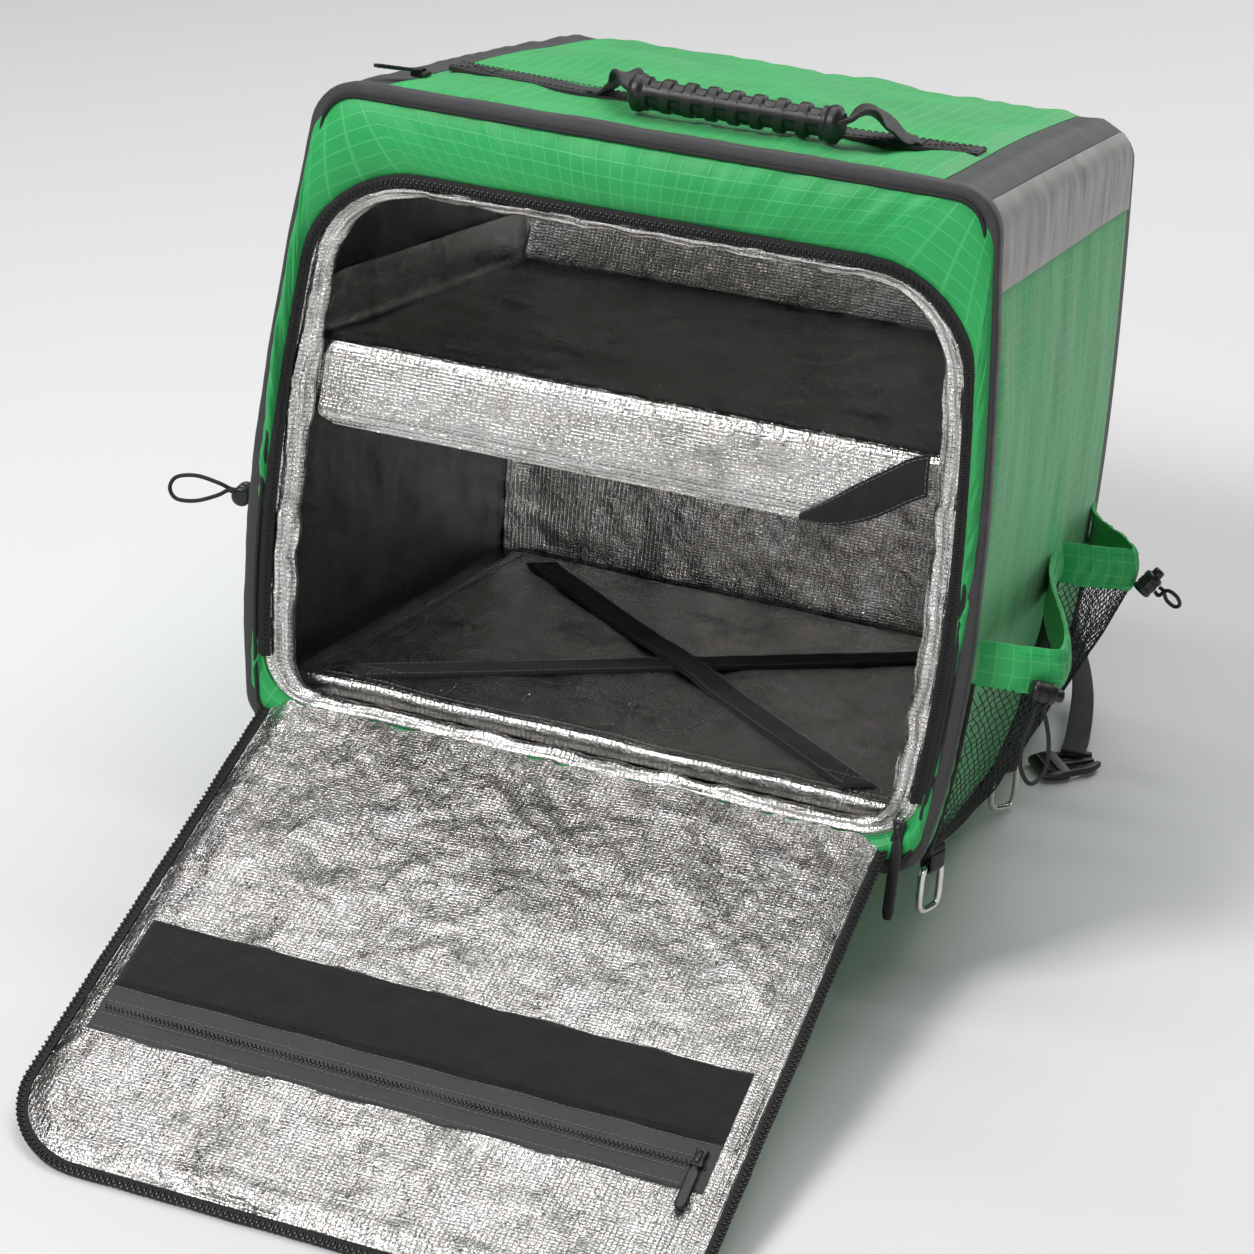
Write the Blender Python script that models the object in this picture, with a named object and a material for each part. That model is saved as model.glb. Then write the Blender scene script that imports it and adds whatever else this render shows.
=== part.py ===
"""Cooler backpack for hot or cold food, open at the front, leaning back on its rear bottom edge.

Every piece is modelled in the bag's own frame: x to the right, y from the front plane to the back,
z up from the underside, in metres. An empty named bag_lean then tips the whole bag back until the
far end of the open flap and the rear bottom edge both stand on z = 0, and sets the origin at the
bottom centre of its bounding box.
"""

import math

import bmesh
import bpy
import numpy as np
from mathutils import Matrix, Vector

# The box
WIDTH = 0.44
DEPTH = 0.44
HEIGHT = 0.435
HALF = WIDTH / 2
LOW_RADIUS = 0.020
HIGH_RADIUS = 0.025
WALL = 0.008
BASE_WALL = 0.018
BACK_WALL = 0.020
LINING = 0.0015
LINING_LOW_RADIUS = 0.012
LINING_GAP = 0.0005
GAP = 0.0003

# How far the padded cloth leaves the straight box
SIDE_BULGE = 0.025
TOP_PUFF = 0.010
REAR_DROP = 0.007
REAR_DROP_RUN = 0.050

# The front opening, its foil jamb and its zip
OPEN_HALF = 0.2095
OPEN_LOW = 0.0195
OPEN_HIGH = 0.383
OPEN_LOW_RADIUS = 0.030
OPEN_HIGH_RADIUS = 0.065
JAMB_HALF = 0.191
JAMB_LOW = 0.0285
JAMB_HIGH = 0.370
JAMB_LOW_RADIUS = 0.018
JAMB_HIGH_RADIUS = 0.050
ZIP_OUTSIDE = 0.0025
ZIP_INSIDE = 0.0055
ZIP_THICKNESS = 0.0025

# Trim on the outside
TRIM_FRONT = 0.0065
TRIM_SIDE = 0.011
TRIM_THICKNESS = 0.0012
BAND_THICKNESS = 0.0008

# The flap, hinged along the bottom of the opening
FLAP_HALF = 0.2115
FLAP_CENTRE = -0.005
FLAP_LENGTH = 0.388
FLAP_THICKNESS = 0.009
FLAP_ZIP_START = 0.008
FLAP_ZIP_HEIGHTS = (-0.0032, -0.0057)
FLAP_EDGE_DROP = 0.004
FLAP_EDGE_RUN = 0.014
FLAP_CORNER = 0.055
FLAP_ANGLE = math.radians(27.2)
HINGE_HEIGHT = 0.0215
HINGE_Y = -0.0004
LOOP_BAND = (0.206, 0.261)
POCKET_ZIP = (0.2615, 0.297)
BAND_HALF = 0.198

# The inside
BOARD_THICKNESS = 0.014
BOARD_HALF = 0.196
BOARD_FRONT = 0.028
BOARD_REAR = 0.400
SHELF_HALF = 0.2054
LIP_INSET = 0.007
SHELF_HEIGHT = 0.268
SHELF_REAR = 0.386
SHELF_THICKNESS = 0.004
SHELF_WING = 0.036
SHELF_LIP = 0.056
WEBBING = 0.025
WEBBING_THICKNESS = 0.0015

# The grip on top, flopped forward of its webbing
HANDLE_Y = 0.088
HANDLE_BOW = 0.034
HANDLE_HALF = 0.180
GRIP_CENTRE = 0.036
GRIP_Y = 0.056
GRIP_LENGTH = 0.132
GRIP_RADIUS = 0.0120
GRIP_RISE = 0.0132

# Side pockets: front seam, mouth and rear seam along y, with how far the mouth stands out
POCKETS = {
    "right_front": {"seam": 0.018, "corner": 0.036, "rear": 0.284, "out": 0.047},
    "right_rear": {"seam": 0.290, "corner": 0.308, "rear": 0.416, "out": 0.046},
    "left_front": {"seam": 0.018, "corner": 0.036, "rear": 0.284, "out": 0.010},
    "left_rear": {"seam": 0.290, "corner": 0.308, "rear": 0.416, "out": 0.022},
}
NET_LOW = 0.012
HEM_LOW = 0.128
HEM_HIGH = 0.156
NET_THICKNESS = 0.0015
HEM_THICKNESS = 0.0030
SEAM_OUT = 0.0019

# Rings, cords and cord locks
RING_PLACES = {"front": {"y": 0.030, "turn": 65}, "rear": {"y": 0.248, "turn": 45}}
RING_LONG = 0.017
RING_SHORT = 0.0095
RING_WIRE = 0.0024
RING_SQUARENESS = 0.5
RING_STEPS = 16
RING_SIDES = 6
LOOP_HALF = 0.0045
LOOP_PLAY = 0.0011
LOOP_TOP = 0.0095
LOOP_RISE = 0.010
LOOP_REACH = 0.0062
CORD_RADIUS = 0.0014
LOCK_RADIUS = 0.0068

# How finely outlines are divided
ARC_STEPS = 4
X_SHARES = (0.0, 0.03, 0.18, 0.34, 0.5, 0.66, 0.82, 0.97, 1.0)
Z_SHARES = (0.0, 0.12, 0.26, 0.40, 0.54, 0.68, 0.80, 0.915, 1.0)
Y_BREAKS = (0.080, 0.150, 0.220, 0.290, 0.390, 0.408)

COLOURS = {
    "ripstop": ((0.020, 0.42, 0.105), 0.62, 0.0),
    "foil": ((0.78, 0.78, 0.79), 0.22, 1.0),
    "trim": ((0.035, 0.035, 0.037), 0.55, 0.0),
    "webbing": ((0.008, 0.008, 0.008), 0.75, 0.0),
    "net": ((0.012, 0.012, 0.012), 0.70, 0.0),
    "reflective": ((0.40, 0.39, 0.38), 0.42, 0.0),
    "plastic": ((0.012, 0.012, 0.013), 0.38, 0.0),
    "steel": ((0.66, 0.65, 0.63), 0.22, 1.0),
}


def clear_scene():
    for obj in list(bpy.data.objects):
        bpy.data.objects.remove(obj, do_unlink=True)


def make_materials():
    made = {}
    for name, (colour, roughness, metallic) in COLOURS.items():
        material = bpy.data.materials.new(name)
        material.use_nodes = True
        shader = material.node_tree.nodes["Principled BSDF"]
        shader.inputs["Base Color"].default_value = (*colour, 1.0)
        shader.inputs["Roughness"].default_value = roughness
        shader.inputs["Metallic"].default_value = metallic
        made[name] = material
    return made


clear_scene()
MATERIALS = make_materials()
LEAN = bpy.data.objects.new("bag_lean", None)
bpy.context.scene.collection.objects.link(LEAN)


def side_bulge(y, z):
    """How far the side stands out at this place: most at the front, a little below half height."""
    rise = np.clip(z / HEIGHT, 0.0, 1.0) ** 0.8
    along = 1.0 - 0.36 * np.clip(y / DEPTH, 0.0, 1.0)
    return SIDE_BULGE * along * np.sin(math.pi * (0.13 + 0.87 * rise))


def top_shift(x, y):
    """How far the top rises in its middle and falls off over the rear edge."""
    depth_share = np.clip(y / DEPTH, 0.0, 1.0)
    puff = TOP_PUFF * (1 - np.clip(x / HALF, -1, 1) ** 2) * np.sin(math.pi * depth_share) ** 2
    over = np.clip((y - (DEPTH - REAR_DROP_RUN)) / REAR_DROP_RUN, 0.0, 1.0)
    return puff - REAR_DROP * over**2


def shaped(points):
    """Carries points of the straight box to the bulging bag."""
    points = np.array(points, float)
    x, y, z = points[..., 0], points[..., 1], points[..., 2]
    high = np.clip(z / HEIGHT, 0.0, 1.0) ** 4
    lifted = z + high * top_shift(x, y)
    spread = x * (1 + side_bulge(y, z) / HALF)
    return np.stack([spread, y, lifted], axis=-1)


def side_x(y, z):
    """The bag's half width at this place."""
    return HALF + float(side_bulge(y, z))


def top_z(x, y):
    return HEIGHT + float(top_shift(x, y))


def add_object(name, bm, material):
    bmesh.ops.recalc_face_normals(bm, faces=bm.faces)
    if bm.calc_volume(signed=True) < 0:
        bmesh.ops.reverse_faces(bm, faces=bm.faces)
    mesh = bpy.data.meshes.new(name)
    bm.to_mesh(mesh)
    bm.free()
    mesh.materials.append(MATERIALS[material])
    mesh.shade_smooth()
    mesh.set_sharp_from_angle(angle=math.radians(40))
    obj = bpy.data.objects.new(name, mesh)
    bpy.context.scene.collection.objects.link(obj)
    obj.parent = LEAN
    return obj


def slab(name, outer, inner, material):
    """One body between two matching grids of points."""
    bm = bmesh.new()
    outer = [[bm.verts.new(point) for point in row] for row in outer]
    inner = [[bm.verts.new(point) for point in row] for row in inner]
    rows = len(outer)
    columns = len(outer[0])
    for i in range(rows - 1):
        j = i + 1
        for k in range(columns - 1):
            bm.faces.new((outer[i][k], outer[j][k], outer[j][k + 1], outer[i][k + 1]))
            bm.faces.new((inner[i][k], inner[i][k + 1], inner[j][k + 1], inner[j][k]))
        for k in (0, -1):
            bm.faces.new((outer[i][k], outer[j][k], inner[j][k], inner[i][k]))
    for i in (0, -1):
        for k in range(columns - 1):
            bm.faces.new((outer[i][k], outer[i][k + 1], inner[i][k + 1], inner[i][k]))
    return add_object(name, bm, material)


def loft(name, rings, material, wrap=False):
    """Closed rings joined in turn, capped at both ends, or joined last to first with wrap."""
    bm = bmesh.new()
    rings = [[bm.verts.new(point) for point in ring] for ring in rings]
    count = len(rings[0])
    for i in range(len(rings) if wrap else len(rings) - 1):
        near = rings[i]
        far = rings[(i + 1) % len(rings)]
        for k in range(count):
            n = (k + 1) % count
            bm.faces.new((near[k], near[n], far[n], far[k]))
    if not wrap:
        bm.faces.new(rings[0])
        bm.faces.new(rings[-1])
    return add_object(name, bm, material)


def thickened(grid, thickness):
    """The grid moved by the thickness against its own surface normals."""
    grid = np.array(grid, float)
    along = np.gradient(grid, axis=0)
    across = np.gradient(grid, axis=1)
    normal = np.cross(along, across)
    normal /= np.linalg.norm(normal, axis=-1, keepdims=True)
    return grid - thickness * normal


def corner_arc(centre, radius, start):
    """Points of a quarter turn in the x, z plane, with their outward directions."""
    rows = []
    for step in range(ARC_STEPS + 1):
        angle = start + math.pi / 2 * step / ARC_STEPS
        direction = (math.cos(angle), math.sin(angle))
        rows.append((centre[0] + radius * direction[0], centre[1] + radius * direction[1], *direction))
    return rows


def outline(half, low, high, low_radius, high_radius):
    """A rounded outline in the x, z plane, anticlockwise from the left end of its bottom side.

    Each row is x, z and the outward direction. Every outline has the same number of rows.
    """
    arcs = [
        corner_arc((half - low_radius, low + low_radius), low_radius, -math.pi / 2),
        corner_arc((half - high_radius, high - high_radius), high_radius, 0.0),
        corner_arc((-half + high_radius, high - high_radius), high_radius, math.pi / 2),
        corner_arc((-half + low_radius, low + low_radius), low_radius, math.pi),
    ]
    rows = []
    sides = (X_SHARES, Z_SHARES, X_SHARES, tuple(1 - share for share in reversed(Z_SHARES)))
    for side, shares in enumerate(sides):
        start = np.array(arcs[side - 1][-1])
        end = np.array(arcs[side][0])
        for share in shares[:-1]:
            rows.append(start + (end - start) * share)
        rows.extend(np.array(row) for row in arcs[side][:-1])
    return np.array(rows)


BOTTOM_RIGHT = len(X_SHARES) - 1
RIGHT_LOW = BOTTOM_RIGHT + ARC_STEPS
RIGHT_HIGH = RIGHT_LOW + len(Z_SHARES) - 1
TOP_RIGHT = RIGHT_HIGH + ARC_STEPS
TOP_LEFT = TOP_RIGHT + len(X_SHARES) - 1
LEFT_HIGH = TOP_LEFT + ARC_STEPS
LEFT_LOW = LEFT_HIGH + len(Z_SHARES) - 1
OUTLINE_ROWS = LEFT_LOW + ARC_STEPS
HALF_ARC = ARC_STEPS // 2
BOX_OUTLINE = outline(HALF, 0.0, HEIGHT, LOW_RADIUS, HIGH_RADIUS)


def outline_part(first, last, depth):
    """The box outline from one row to another, this deep in the wall, cut back by half a gap."""
    rows = [BOX_OUTLINE[index % OUTLINE_ROWS] for index in range(first, last + 1)]
    points = np.array([row[:2] - row[2:] * depth for row in rows])
    for end, neighbour in ((0, 1), (-1, -2)):
        inward = points[neighbour] - points[end]
        points[end] += inward / np.linalg.norm(inward) * GAP / 2
    return points


def wall_skin(points, depths):
    """A grid over outline points and depths along y, carried to the bag's shape."""
    grid = [[(x, y, z) for y in depths] for x, z in points]
    return shaped(grid)


def y_stations(front, rear):
    inside = [y for y in Y_BREAKS if front + 0.004 < y < rear - 0.004]
    return [front, *inside, rear]


def wall(name, first, last, front, rear, outer_depth, inner_depth, material):
    """A length of the box's wall between two outline rows and two places along y."""
    depths = y_stations(front, rear)
    outer = wall_skin(outline_part(first, last, outer_depth), depths)
    inner = wall_skin(outline_part(first, last, inner_depth), depths)
    return slab(name, outer, inner, material)


def outline_ring(rows, y, grow=0.0):
    """A closed ring of 3-D points from outline rows, grown outwards."""
    return shaped([(row[0] + row[2] * grow, y, row[1] + row[3] * grow) for row in rows])


def build_shell():
    front = WALL + GAP
    rear = DEPTH - BACK_WALL - GAP
    first = -HALF_ARC
    last = BOTTOM_RIGHT + HALF_ARC
    wall("base_panel", first, last, front, rear, 0.0, BASE_WALL, "ripstop")
    first = BOTTOM_RIGHT + HALF_ARC
    last = RIGHT_HIGH + HALF_ARC
    wall("right_side_panel", first, last, front, rear, 0.0, WALL, "ripstop")
    first = TOP_LEFT + HALF_ARC
    last = LEFT_LOW + HALF_ARC
    wall("left_side_panel", first, last, front, rear, 0.0, WALL, "ripstop")
    wall("top_panel", TOP_RIGHT + 1, TOP_LEFT - 1, front, rear, 0.0, WALL, "ripstop")
    first = RIGHT_HIGH + HALF_ARC
    wall("right_zip_cover", first, TOP_RIGHT + 1, front, rear, 0.0, WALL, "trim")
    last = TOP_LEFT + HALF_ARC
    wall("left_zip_cover", TOP_LEFT - 1, last, front, rear, 0.0, WALL, "trim")


def build_reflective_bands():
    front = TRIM_SIDE + GAP
    rear = DEPTH - BACK_WALL - GAP
    outer = -(GAP + BAND_THICKNESS)
    wall("right_reflective_band", RIGHT_HIGH - 1, RIGHT_HIGH + HALF_ARC, front, rear, outer, -GAP, "reflective")
    wall("left_reflective_band", TOP_LEFT + HALF_ARC, LEFT_HIGH + 1, front, rear, outer, -GAP, "reflective")


def build_front_and_back():
    opening = outline(OPEN_HALF, OPEN_LOW, OPEN_HIGH, OPEN_LOW_RADIUS, OPEN_HIGH_RADIUS)
    rings = [
        outline_ring(BOX_OUTLINE, 0.0),
        outline_ring(BOX_OUTLINE, WALL),
        outline_ring(opening, WALL),
        outline_ring(opening, 0.0),
    ]
    loft("front_panel", rings, "ripstop", wrap=True)
    rear = DEPTH - BACK_WALL
    loft("back_panel", [outline_ring(BOX_OUTLINE, rear), outline_ring(BOX_OUTLINE, DEPTH)], "ripstop")


def build_edge_trim():
    """A strip folded over the front edge all round, part on the front face and part on the sides."""
    inner = GAP
    outer = GAP + TRIM_THICKNESS
    section = (
        (-TRIM_FRONT, -outer),
        (outer, -outer),
        (outer, TRIM_SIDE),
        (inner, TRIM_SIDE),
        (inner, -inner),
        (-TRIM_FRONT, -inner),
    )
    rings = [outline_ring(BOX_OUTLINE, y, grow) for grow, y in section]
    loft("edge_trim", rings, "trim", wrap=True)


def build_lining():
    """A foil box, open at the front, just inside the padded walls."""
    half = HALF - WALL - LINING_GAP
    low = BASE_WALL + LINING_GAP
    high = HEIGHT - WALL - LINING_GAP
    outside = outline(half, low, high, LINING_LOW_RADIUS, HIGH_RADIUS - WALL)
    front = WALL + 2 * GAP
    rear = DEPTH - BACK_WALL - GAP
    depths = y_stations(front, rear)
    inner_depths = y_stations(front, rear - LINING)
    rings = [outline_ring(outside, y, -LINING) for y in reversed(inner_depths)]
    rings += [outline_ring(outside, y) for y in depths]
    loft("foil_lining", rings, "foil")


def build_jamb():
    """The foil rim that faces forward round the opening, just behind the zip."""
    outside = outline(OPEN_HALF - GAP, OPEN_LOW + GAP, OPEN_HIGH - GAP, OPEN_LOW_RADIUS, OPEN_HIGH_RADIUS)
    inside = outline(JAMB_HALF, JAMB_LOW, JAMB_HIGH, JAMB_LOW_RADIUS, JAMB_HIGH_RADIUS)
    front = 0.0010
    rear = 0.0045
    rings = [
        outline_ring(outside, front),
        outline_ring(outside, rear),
        outline_ring(inside, rear + 0.004),
        outline_ring(inside, front + 0.004),
    ]
    loft("foil_jamb", rings, "foil", wrap=True)


def build_opening_zip():
    """Tape and closed teeth up one side, over the top and down the other."""
    opening = outline(OPEN_HALF, OPEN_LOW, OPEN_HIGH, OPEN_LOW_RADIUS, OPEN_HIGH_RADIUS)
    rows = opening[RIGHT_LOW : LEFT_LOW + 1]
    near = -(GAP + ZIP_THICKNESS)
    skins = []
    for y in (near, -GAP):
        grid = [[row[0] + row[2] * grow, y, row[1] + row[3] * grow] for row in rows for grow in (ZIP_OUTSIDE, -ZIP_INSIDE)]
        skins.append(shaped(np.array(grid).reshape(len(rows), 2, 3)))
    slab("opening_zip", skins[0], skins[1], "webbing")


def flap_point(x, s, n):
    """A point of the open flap: x across, s from the hinge, n above its foil face."""
    y = HINGE_Y - s * math.cos(FLAP_ANGLE) - n * math.sin(FLAP_ANGLE)
    z = HINGE_HEIGHT - s * math.sin(FLAP_ANGLE) + n * math.cos(FLAP_ANGLE)
    return (FLAP_CENTRE + x, y, z)


def flap_half_width(s):
    """Half the flap's width this far from the hinge, with its far corners rounded."""
    over = max(0.0, s - (FLAP_LENGTH - FLAP_CORNER))
    return FLAP_HALF - (FLAP_CORNER - math.sqrt(FLAP_CORNER**2 - over**2))


def flap_stations():
    straight = FLAP_LENGTH - FLAP_CORNER
    stations = [straight * share / 8 for share in range(9)]
    for step in range(1, 8):
        stations.append(straight + FLAP_CORNER * math.sin(math.pi / 2 * step / 7))
    return stations


def clear_of_box(s, depth):
    """The least distance from the hinge at this depth under the foil face that stays before the box."""
    return max(s, depth * math.tan(FLAP_ANGLE))


def build_flap():
    """A padded panel, thinner along its rim, cut upright where it meets the box."""
    shares = (-1.0, -0.935, -0.6, -0.2, 0.2, 0.6, 0.935, 1.0)
    outer = []
    inner = []
    for s in flap_stations():
        half = flap_half_width(s)
        rim = min(1.0, (FLAP_LENGTH - s) / FLAP_EDGE_RUN)
        top_row = []
        low_row = []
        for share in shares:
            edge = min(rim, (1 - abs(share)) * FLAP_HALF / FLAP_EDGE_RUN)
            drop = FLAP_EDGE_DROP * (1 - edge)
            top_row.append(flap_point(half * share, clear_of_box(s, drop), -drop))
            low_row.append(flap_point(half * share, clear_of_box(s, FLAP_THICKNESS), -FLAP_THICKNESS))
        outer.append(top_row)
        inner.append(low_row)
    slab("flap", outer, inner, "foil")


def build_flap_zip():
    """The other half of the zip, round the flap's three free edges."""
    skins = ([], [])
    stations = [FLAP_ZIP_START, *flap_stations()[1:]]
    path = [(flap_half_width(s), s) for s in stations]
    path += [(-x, s) for x, s in reversed(path)]
    path = np.array(path)
    tangent = np.gradient(path, axis=0)
    tangent /= np.linalg.norm(tangent, axis=1, keepdims=True)
    outward = np.stack([tangent[:, 1], -tangent[:, 0]], axis=1)
    for skin, n in zip(skins, FLAP_ZIP_HEIGHTS):
        for (x, s), (away_x, away_s) in zip(path, outward):
            ends = (GAP + 0.0002, 0.007)
            skin.append([flap_point(x + away_x * end, s + away_s * end, n) for end in ends])
    slab("flap_zip", skins[0], skins[1], "webbing")


def flap_patch(name, s_range, half, thickness, material):
    columns = np.linspace(-half, half, 9)
    rows = np.linspace(*s_range, 3)
    outer = [[flap_point(x, s, GAP + thickness) for x in columns] for s in rows]
    inner = [[flap_point(x, s, GAP) for x in columns] for s in rows]
    slab(name, outer, inner, material)


def bar(name, stations, across, material, facing=None):
    """A bar of rectangular sections. Each station is a centre, a half width and a half thickness.

    The width lies along across, which is one direction or one for each station.
    """
    centres = np.array([station[0] for station in stations], float)
    tangents = np.gradient(centres, axis=0)
    across = np.broadcast_to(np.array(across, float), centres.shape)
    corners = ((1, 1), (-1, 1), (-1, -1), (1, -1))
    rings = []
    for (centre, half_width, half_thick), tangent, side in zip(stations, tangents, across):
        normal = np.cross(tangent, side) if facing is None else np.array(facing, float)
        normal = normal / np.linalg.norm(normal) * half_thick
        side = side / np.linalg.norm(side) * half_width
        rings.append([np.array(centre) + side * i + normal * k for i, k in corners])
    return loft(name, rings, material)


def build_flap_details():
    flap_patch("flap_loop_band", LOOP_BAND, BAND_HALF, 0.0016, "webbing")
    flap_patch("flap_pocket_zip", POCKET_ZIP, BAND_HALF, 0.0018, "trim")
    seat = GAP + 0.0018 + GAP
    stations = []
    for s, half_width, low, high in (
        (0.270, 0.0040, 0.0, 0.004),
        (0.281, 0.0045, 0.0, 0.005),
        (0.284, 0.0020, 0.001, 0.003),
        (0.287, 0.0035, 0.0006, 0.003),
        (0.312, 0.0035, 0.0006, 0.003),
    ):
        centre = flap_point(0.189, s, seat + (low + high) / 2)
        stations.append((centre, half_width, (high - low) / 2))
    facing = np.array(flap_point(0, 0, 1)) - np.array(flap_point(0, 0, 0))
    bar("flap_pocket_slider", stations, (1, 0, 0), "plastic", facing)


def build_floor():
    low = BASE_WALL + LINING_GAP + LINING + GAP
    high = low + BOARD_THICKNESS
    ys = np.linspace(BOARD_FRONT, BOARD_REAR, 9)
    xs = (-BOARD_HALF, -0.1, 0.0, 0.1, BOARD_HALF)
    outer = shaped([[(x, y, high) for y in ys] for x in xs])
    inner = shaped([[(x, y, low) for y in ys] for x in xs])
    slab("floor_board", outer, inner, "foil")
    ends = {
        "cross_strap_lower": ((-0.168, 0.044), (0.176, 0.384), 0.0),
        "cross_strap_upper": ((0.166, 0.044), (-0.163, 0.376), WEBBING_THICKNESS + GAP),
    }
    for name, (start, end, hump) in ends.items():
        stations = []
        for share in np.linspace(0, 1, 25):
            x = start[0] + (end[0] - start[0]) * share
            y = start[1] + (end[1] - start[1]) * share
            away = abs(share - 0.5) * math.dist(start, end)
            lift = hump * min(1.0, max(0.0, (0.055 - away) / 0.020))
            z = high + GAP + WEBBING_THICKNESS / 2 + lift
            stations.append(((x, y, z), WEBBING / 2, WEBBING_THICKNESS / 2))
        sideways = (-(end[1] - start[1]), end[0] - start[0], 0)
        bar(name, stations, sideways, "webbing", (0, 0, 1))


def build_shelf():
    """A padded board with its sides and back turned up and a lip hanging at the front."""
    wing_shares = (1.0, 0.5, 0.0)
    middle = np.linspace(-SHELF_HALF + 0.020, SHELF_HALF - 0.020, 7)
    edges = (SHELF_HALF, SHELF_HALF - 0.003, SHELF_HALF - 0.006)
    columns = [(-x, share) for x, share in zip(edges, wing_shares)]
    columns += [(x, 0.0) for x in middle]
    columns += [(x, share) for x, share in zip(reversed(edges), reversed(wing_shares))]
    low = SHELF_HEIGHT - SHELF_LIP
    rows = [
        {"y": 0.0130, "z": low, "wing": 0.0, "left": 0.020, "right": 0.072},
        {"y": 0.0115, "z": low + 0.008, "wing": 0.0, "left": 0.007, "right": 0.058},
        {"y": 0.0110, "z": low + 0.022, "wing": 0.0, "left": 0.0, "right": 0.040},
        {"y": 0.0120, "z": SHELF_HEIGHT - 0.012, "wing": 0.0, "left": 0.0, "right": 0.016},
        {"y": 0.0150, "z": SHELF_HEIGHT - 0.003, "wing": 0.0, "left": 0.0, "right": 0.004},
        {"y": 0.0210, "z": SHELF_HEIGHT, "wing": 0.004, "left": 0.0, "right": 0.0},
        {"y": 0.0350, "z": SHELF_HEIGHT, "wing": 0.024, "left": 0.0, "right": 0.0},
    ]
    straight = {"z": SHELF_HEIGHT, "wing": SHELF_WING, "left": 0.0, "right": 0.0}
    for y in (0.050, 0.13, 0.21, 0.29, SHELF_REAR - 0.012):
        rows.append({**straight, "y": y})
    for step, lift in ((0.008, 0.002), (0.005, 0.016), (0.002, 0.034)):
        rows.append({**straight, "y": SHELF_REAR - step, "z": SHELF_HEIGHT + lift, "wing": SHELF_WING - lift})
    grid = []
    for row in rows:
        line = []
        for x, share in columns:
            cut = row["left"] if x < 0 else row["right"]
            inset = LIP_INSET * min(1.0, max(0.0, SHELF_HEIGHT - row["z"]) / 0.012)
            line.append((x * (1 - (cut + inset) / SHELF_HALF), row["y"], row["z"] + row["wing"] * share))
        grid.append(line)
    under = thickened(grid, -SHELF_THICKNESS)
    slab("shelf", shaped(grid), shaped(under), "foil")


def build_lip_tape():
    """The lip's right end, folded up to the front so that the hook tape on its back shows."""
    rows = (
        {"x": 0.112, "low": 0.2115, "high": 0.2160, "y": 0.0100},
        {"x": 0.128, "low": 0.2120, "high": 0.2285, "y": 0.0095},
        {"x": 0.144, "low": 0.2165, "high": 0.2420, "y": 0.0090},
        {"x": 0.160, "low": 0.2255, "high": 0.2545, "y": 0.0075},
        {"x": 0.174, "low": 0.2360, "high": 0.2650, "y": 0.0060},
        {"x": 0.186, "low": 0.2440, "high": 0.2705, "y": 0.0045},
    )
    outer = []
    for row in rows:
        middle = (row["low"] + row["high"]) / 2
        heights = ((row["low"], 0.0), (middle, 0.0025), (row["high"], 0.0))
        outer.append([(row["x"], row["y"] - forward, z) for z, forward in heights])
    outer = np.array(outer)
    slab("shelf_tape", shaped(outer), shaped(outer + np.array([0, 0.0012, 0])), "webbing")


def handle_y(x):
    """Where the middle of the handle's webbing lies: it bows forward between its sewn ends."""
    return HANDLE_Y + HANDLE_BOW * (x / HANDLE_HALF) ** 2


def build_handle():
    low = HEIGHT + 2 * GAP
    high = low + WEBBING_THICKNESS
    xs = np.linspace(-HANDLE_HALF, HANDLE_HALF, 17)
    skins = []
    for z in (high, low):
        grid = [[(x, handle_y(x) + away, z) for away in (-WEBBING / 2, 0.0, WEBBING / 2)] for x in xs]
        skins.append(shaped(grid))
    slab("handle_webbing", skins[0], skins[1], "webbing")
    seat = high + GAP - HEIGHT
    half = GRIP_LENGTH / 2
    sections = [
        {"x": half + 0.040, "rise": 0.0020, "back": 1.0, "y": 0.0110, "z": 0.0012},
        {"x": half + 0.026, "rise": 0.0050, "back": 0.9, "y": 0.0115, "z": 0.0018},
        {"x": half + 0.013, "rise": 0.0190, "back": 0.45, "y": 0.0115, "z": 0.0030},
        {"x": half + 0.004, "rise": GRIP_RISE, "back": 0.0, "y": 0.0118, "z": 0.0070},
        {"x": half, "rise": GRIP_RISE, "back": 0.0, "y": GRIP_RADIUS, "z": GRIP_RADIUS},
    ]
    ends = [{**row, "x": -row["x"]} for row in sections]
    middle = [{**sections[-1], "x": half * share} for share in (0.5, 0.0, -0.5)]
    rings = []
    for row in ends + middle[::-1] + sections[::-1]:
        ring = []
        x = GRIP_CENTRE + row["x"]
        y = GRIP_Y + (handle_y(x) - GRIP_Y) * row["back"]
        base = top_z(x, y) + seat
        for side in range(12):
            angle = 2 * math.pi * side / 12
            z = base + row["rise"] + row["z"] * math.sin(angle)
            ring.append((x, y + row["y"] * math.cos(angle), z))
        rings.append(ring)
    loft("handle_grip", rings, "plastic")


def pocket_point(pocket, share, height, side):
    """A point of a pocket's inner face: share runs from front seam to rear seam, height from 0 to 1."""
    reach = pocket["rear"] - pocket["seam"]
    y = pocket["seam"] + reach * share
    turn = (pocket["corner"] - pocket["seam"]) / reach
    if share < turn:
        out = math.sin(math.pi / 2 * share / turn) ** 0.8
    else:
        out = 0.5 + 0.5 * math.cos(math.pi * ((share - turn) / (1 - turn)) ** 0.85)
    out = GAP + SEAM_OUT + (pocket["out"] - SEAM_OUT) * out * height**0.75
    z = NET_LOW + (HEM_LOW - NET_LOW) * height
    return (side * (HALF + out), y, z)


POCKET_SHARES = (0.0, 0.02, 0.045, 0.08, 0.13, 0.22, 0.36, 0.50, 0.64, 0.80, 1.0)
NET_HEIGHTS = (0.0, 0.15, 0.4, 0.7, 1.0)


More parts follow.
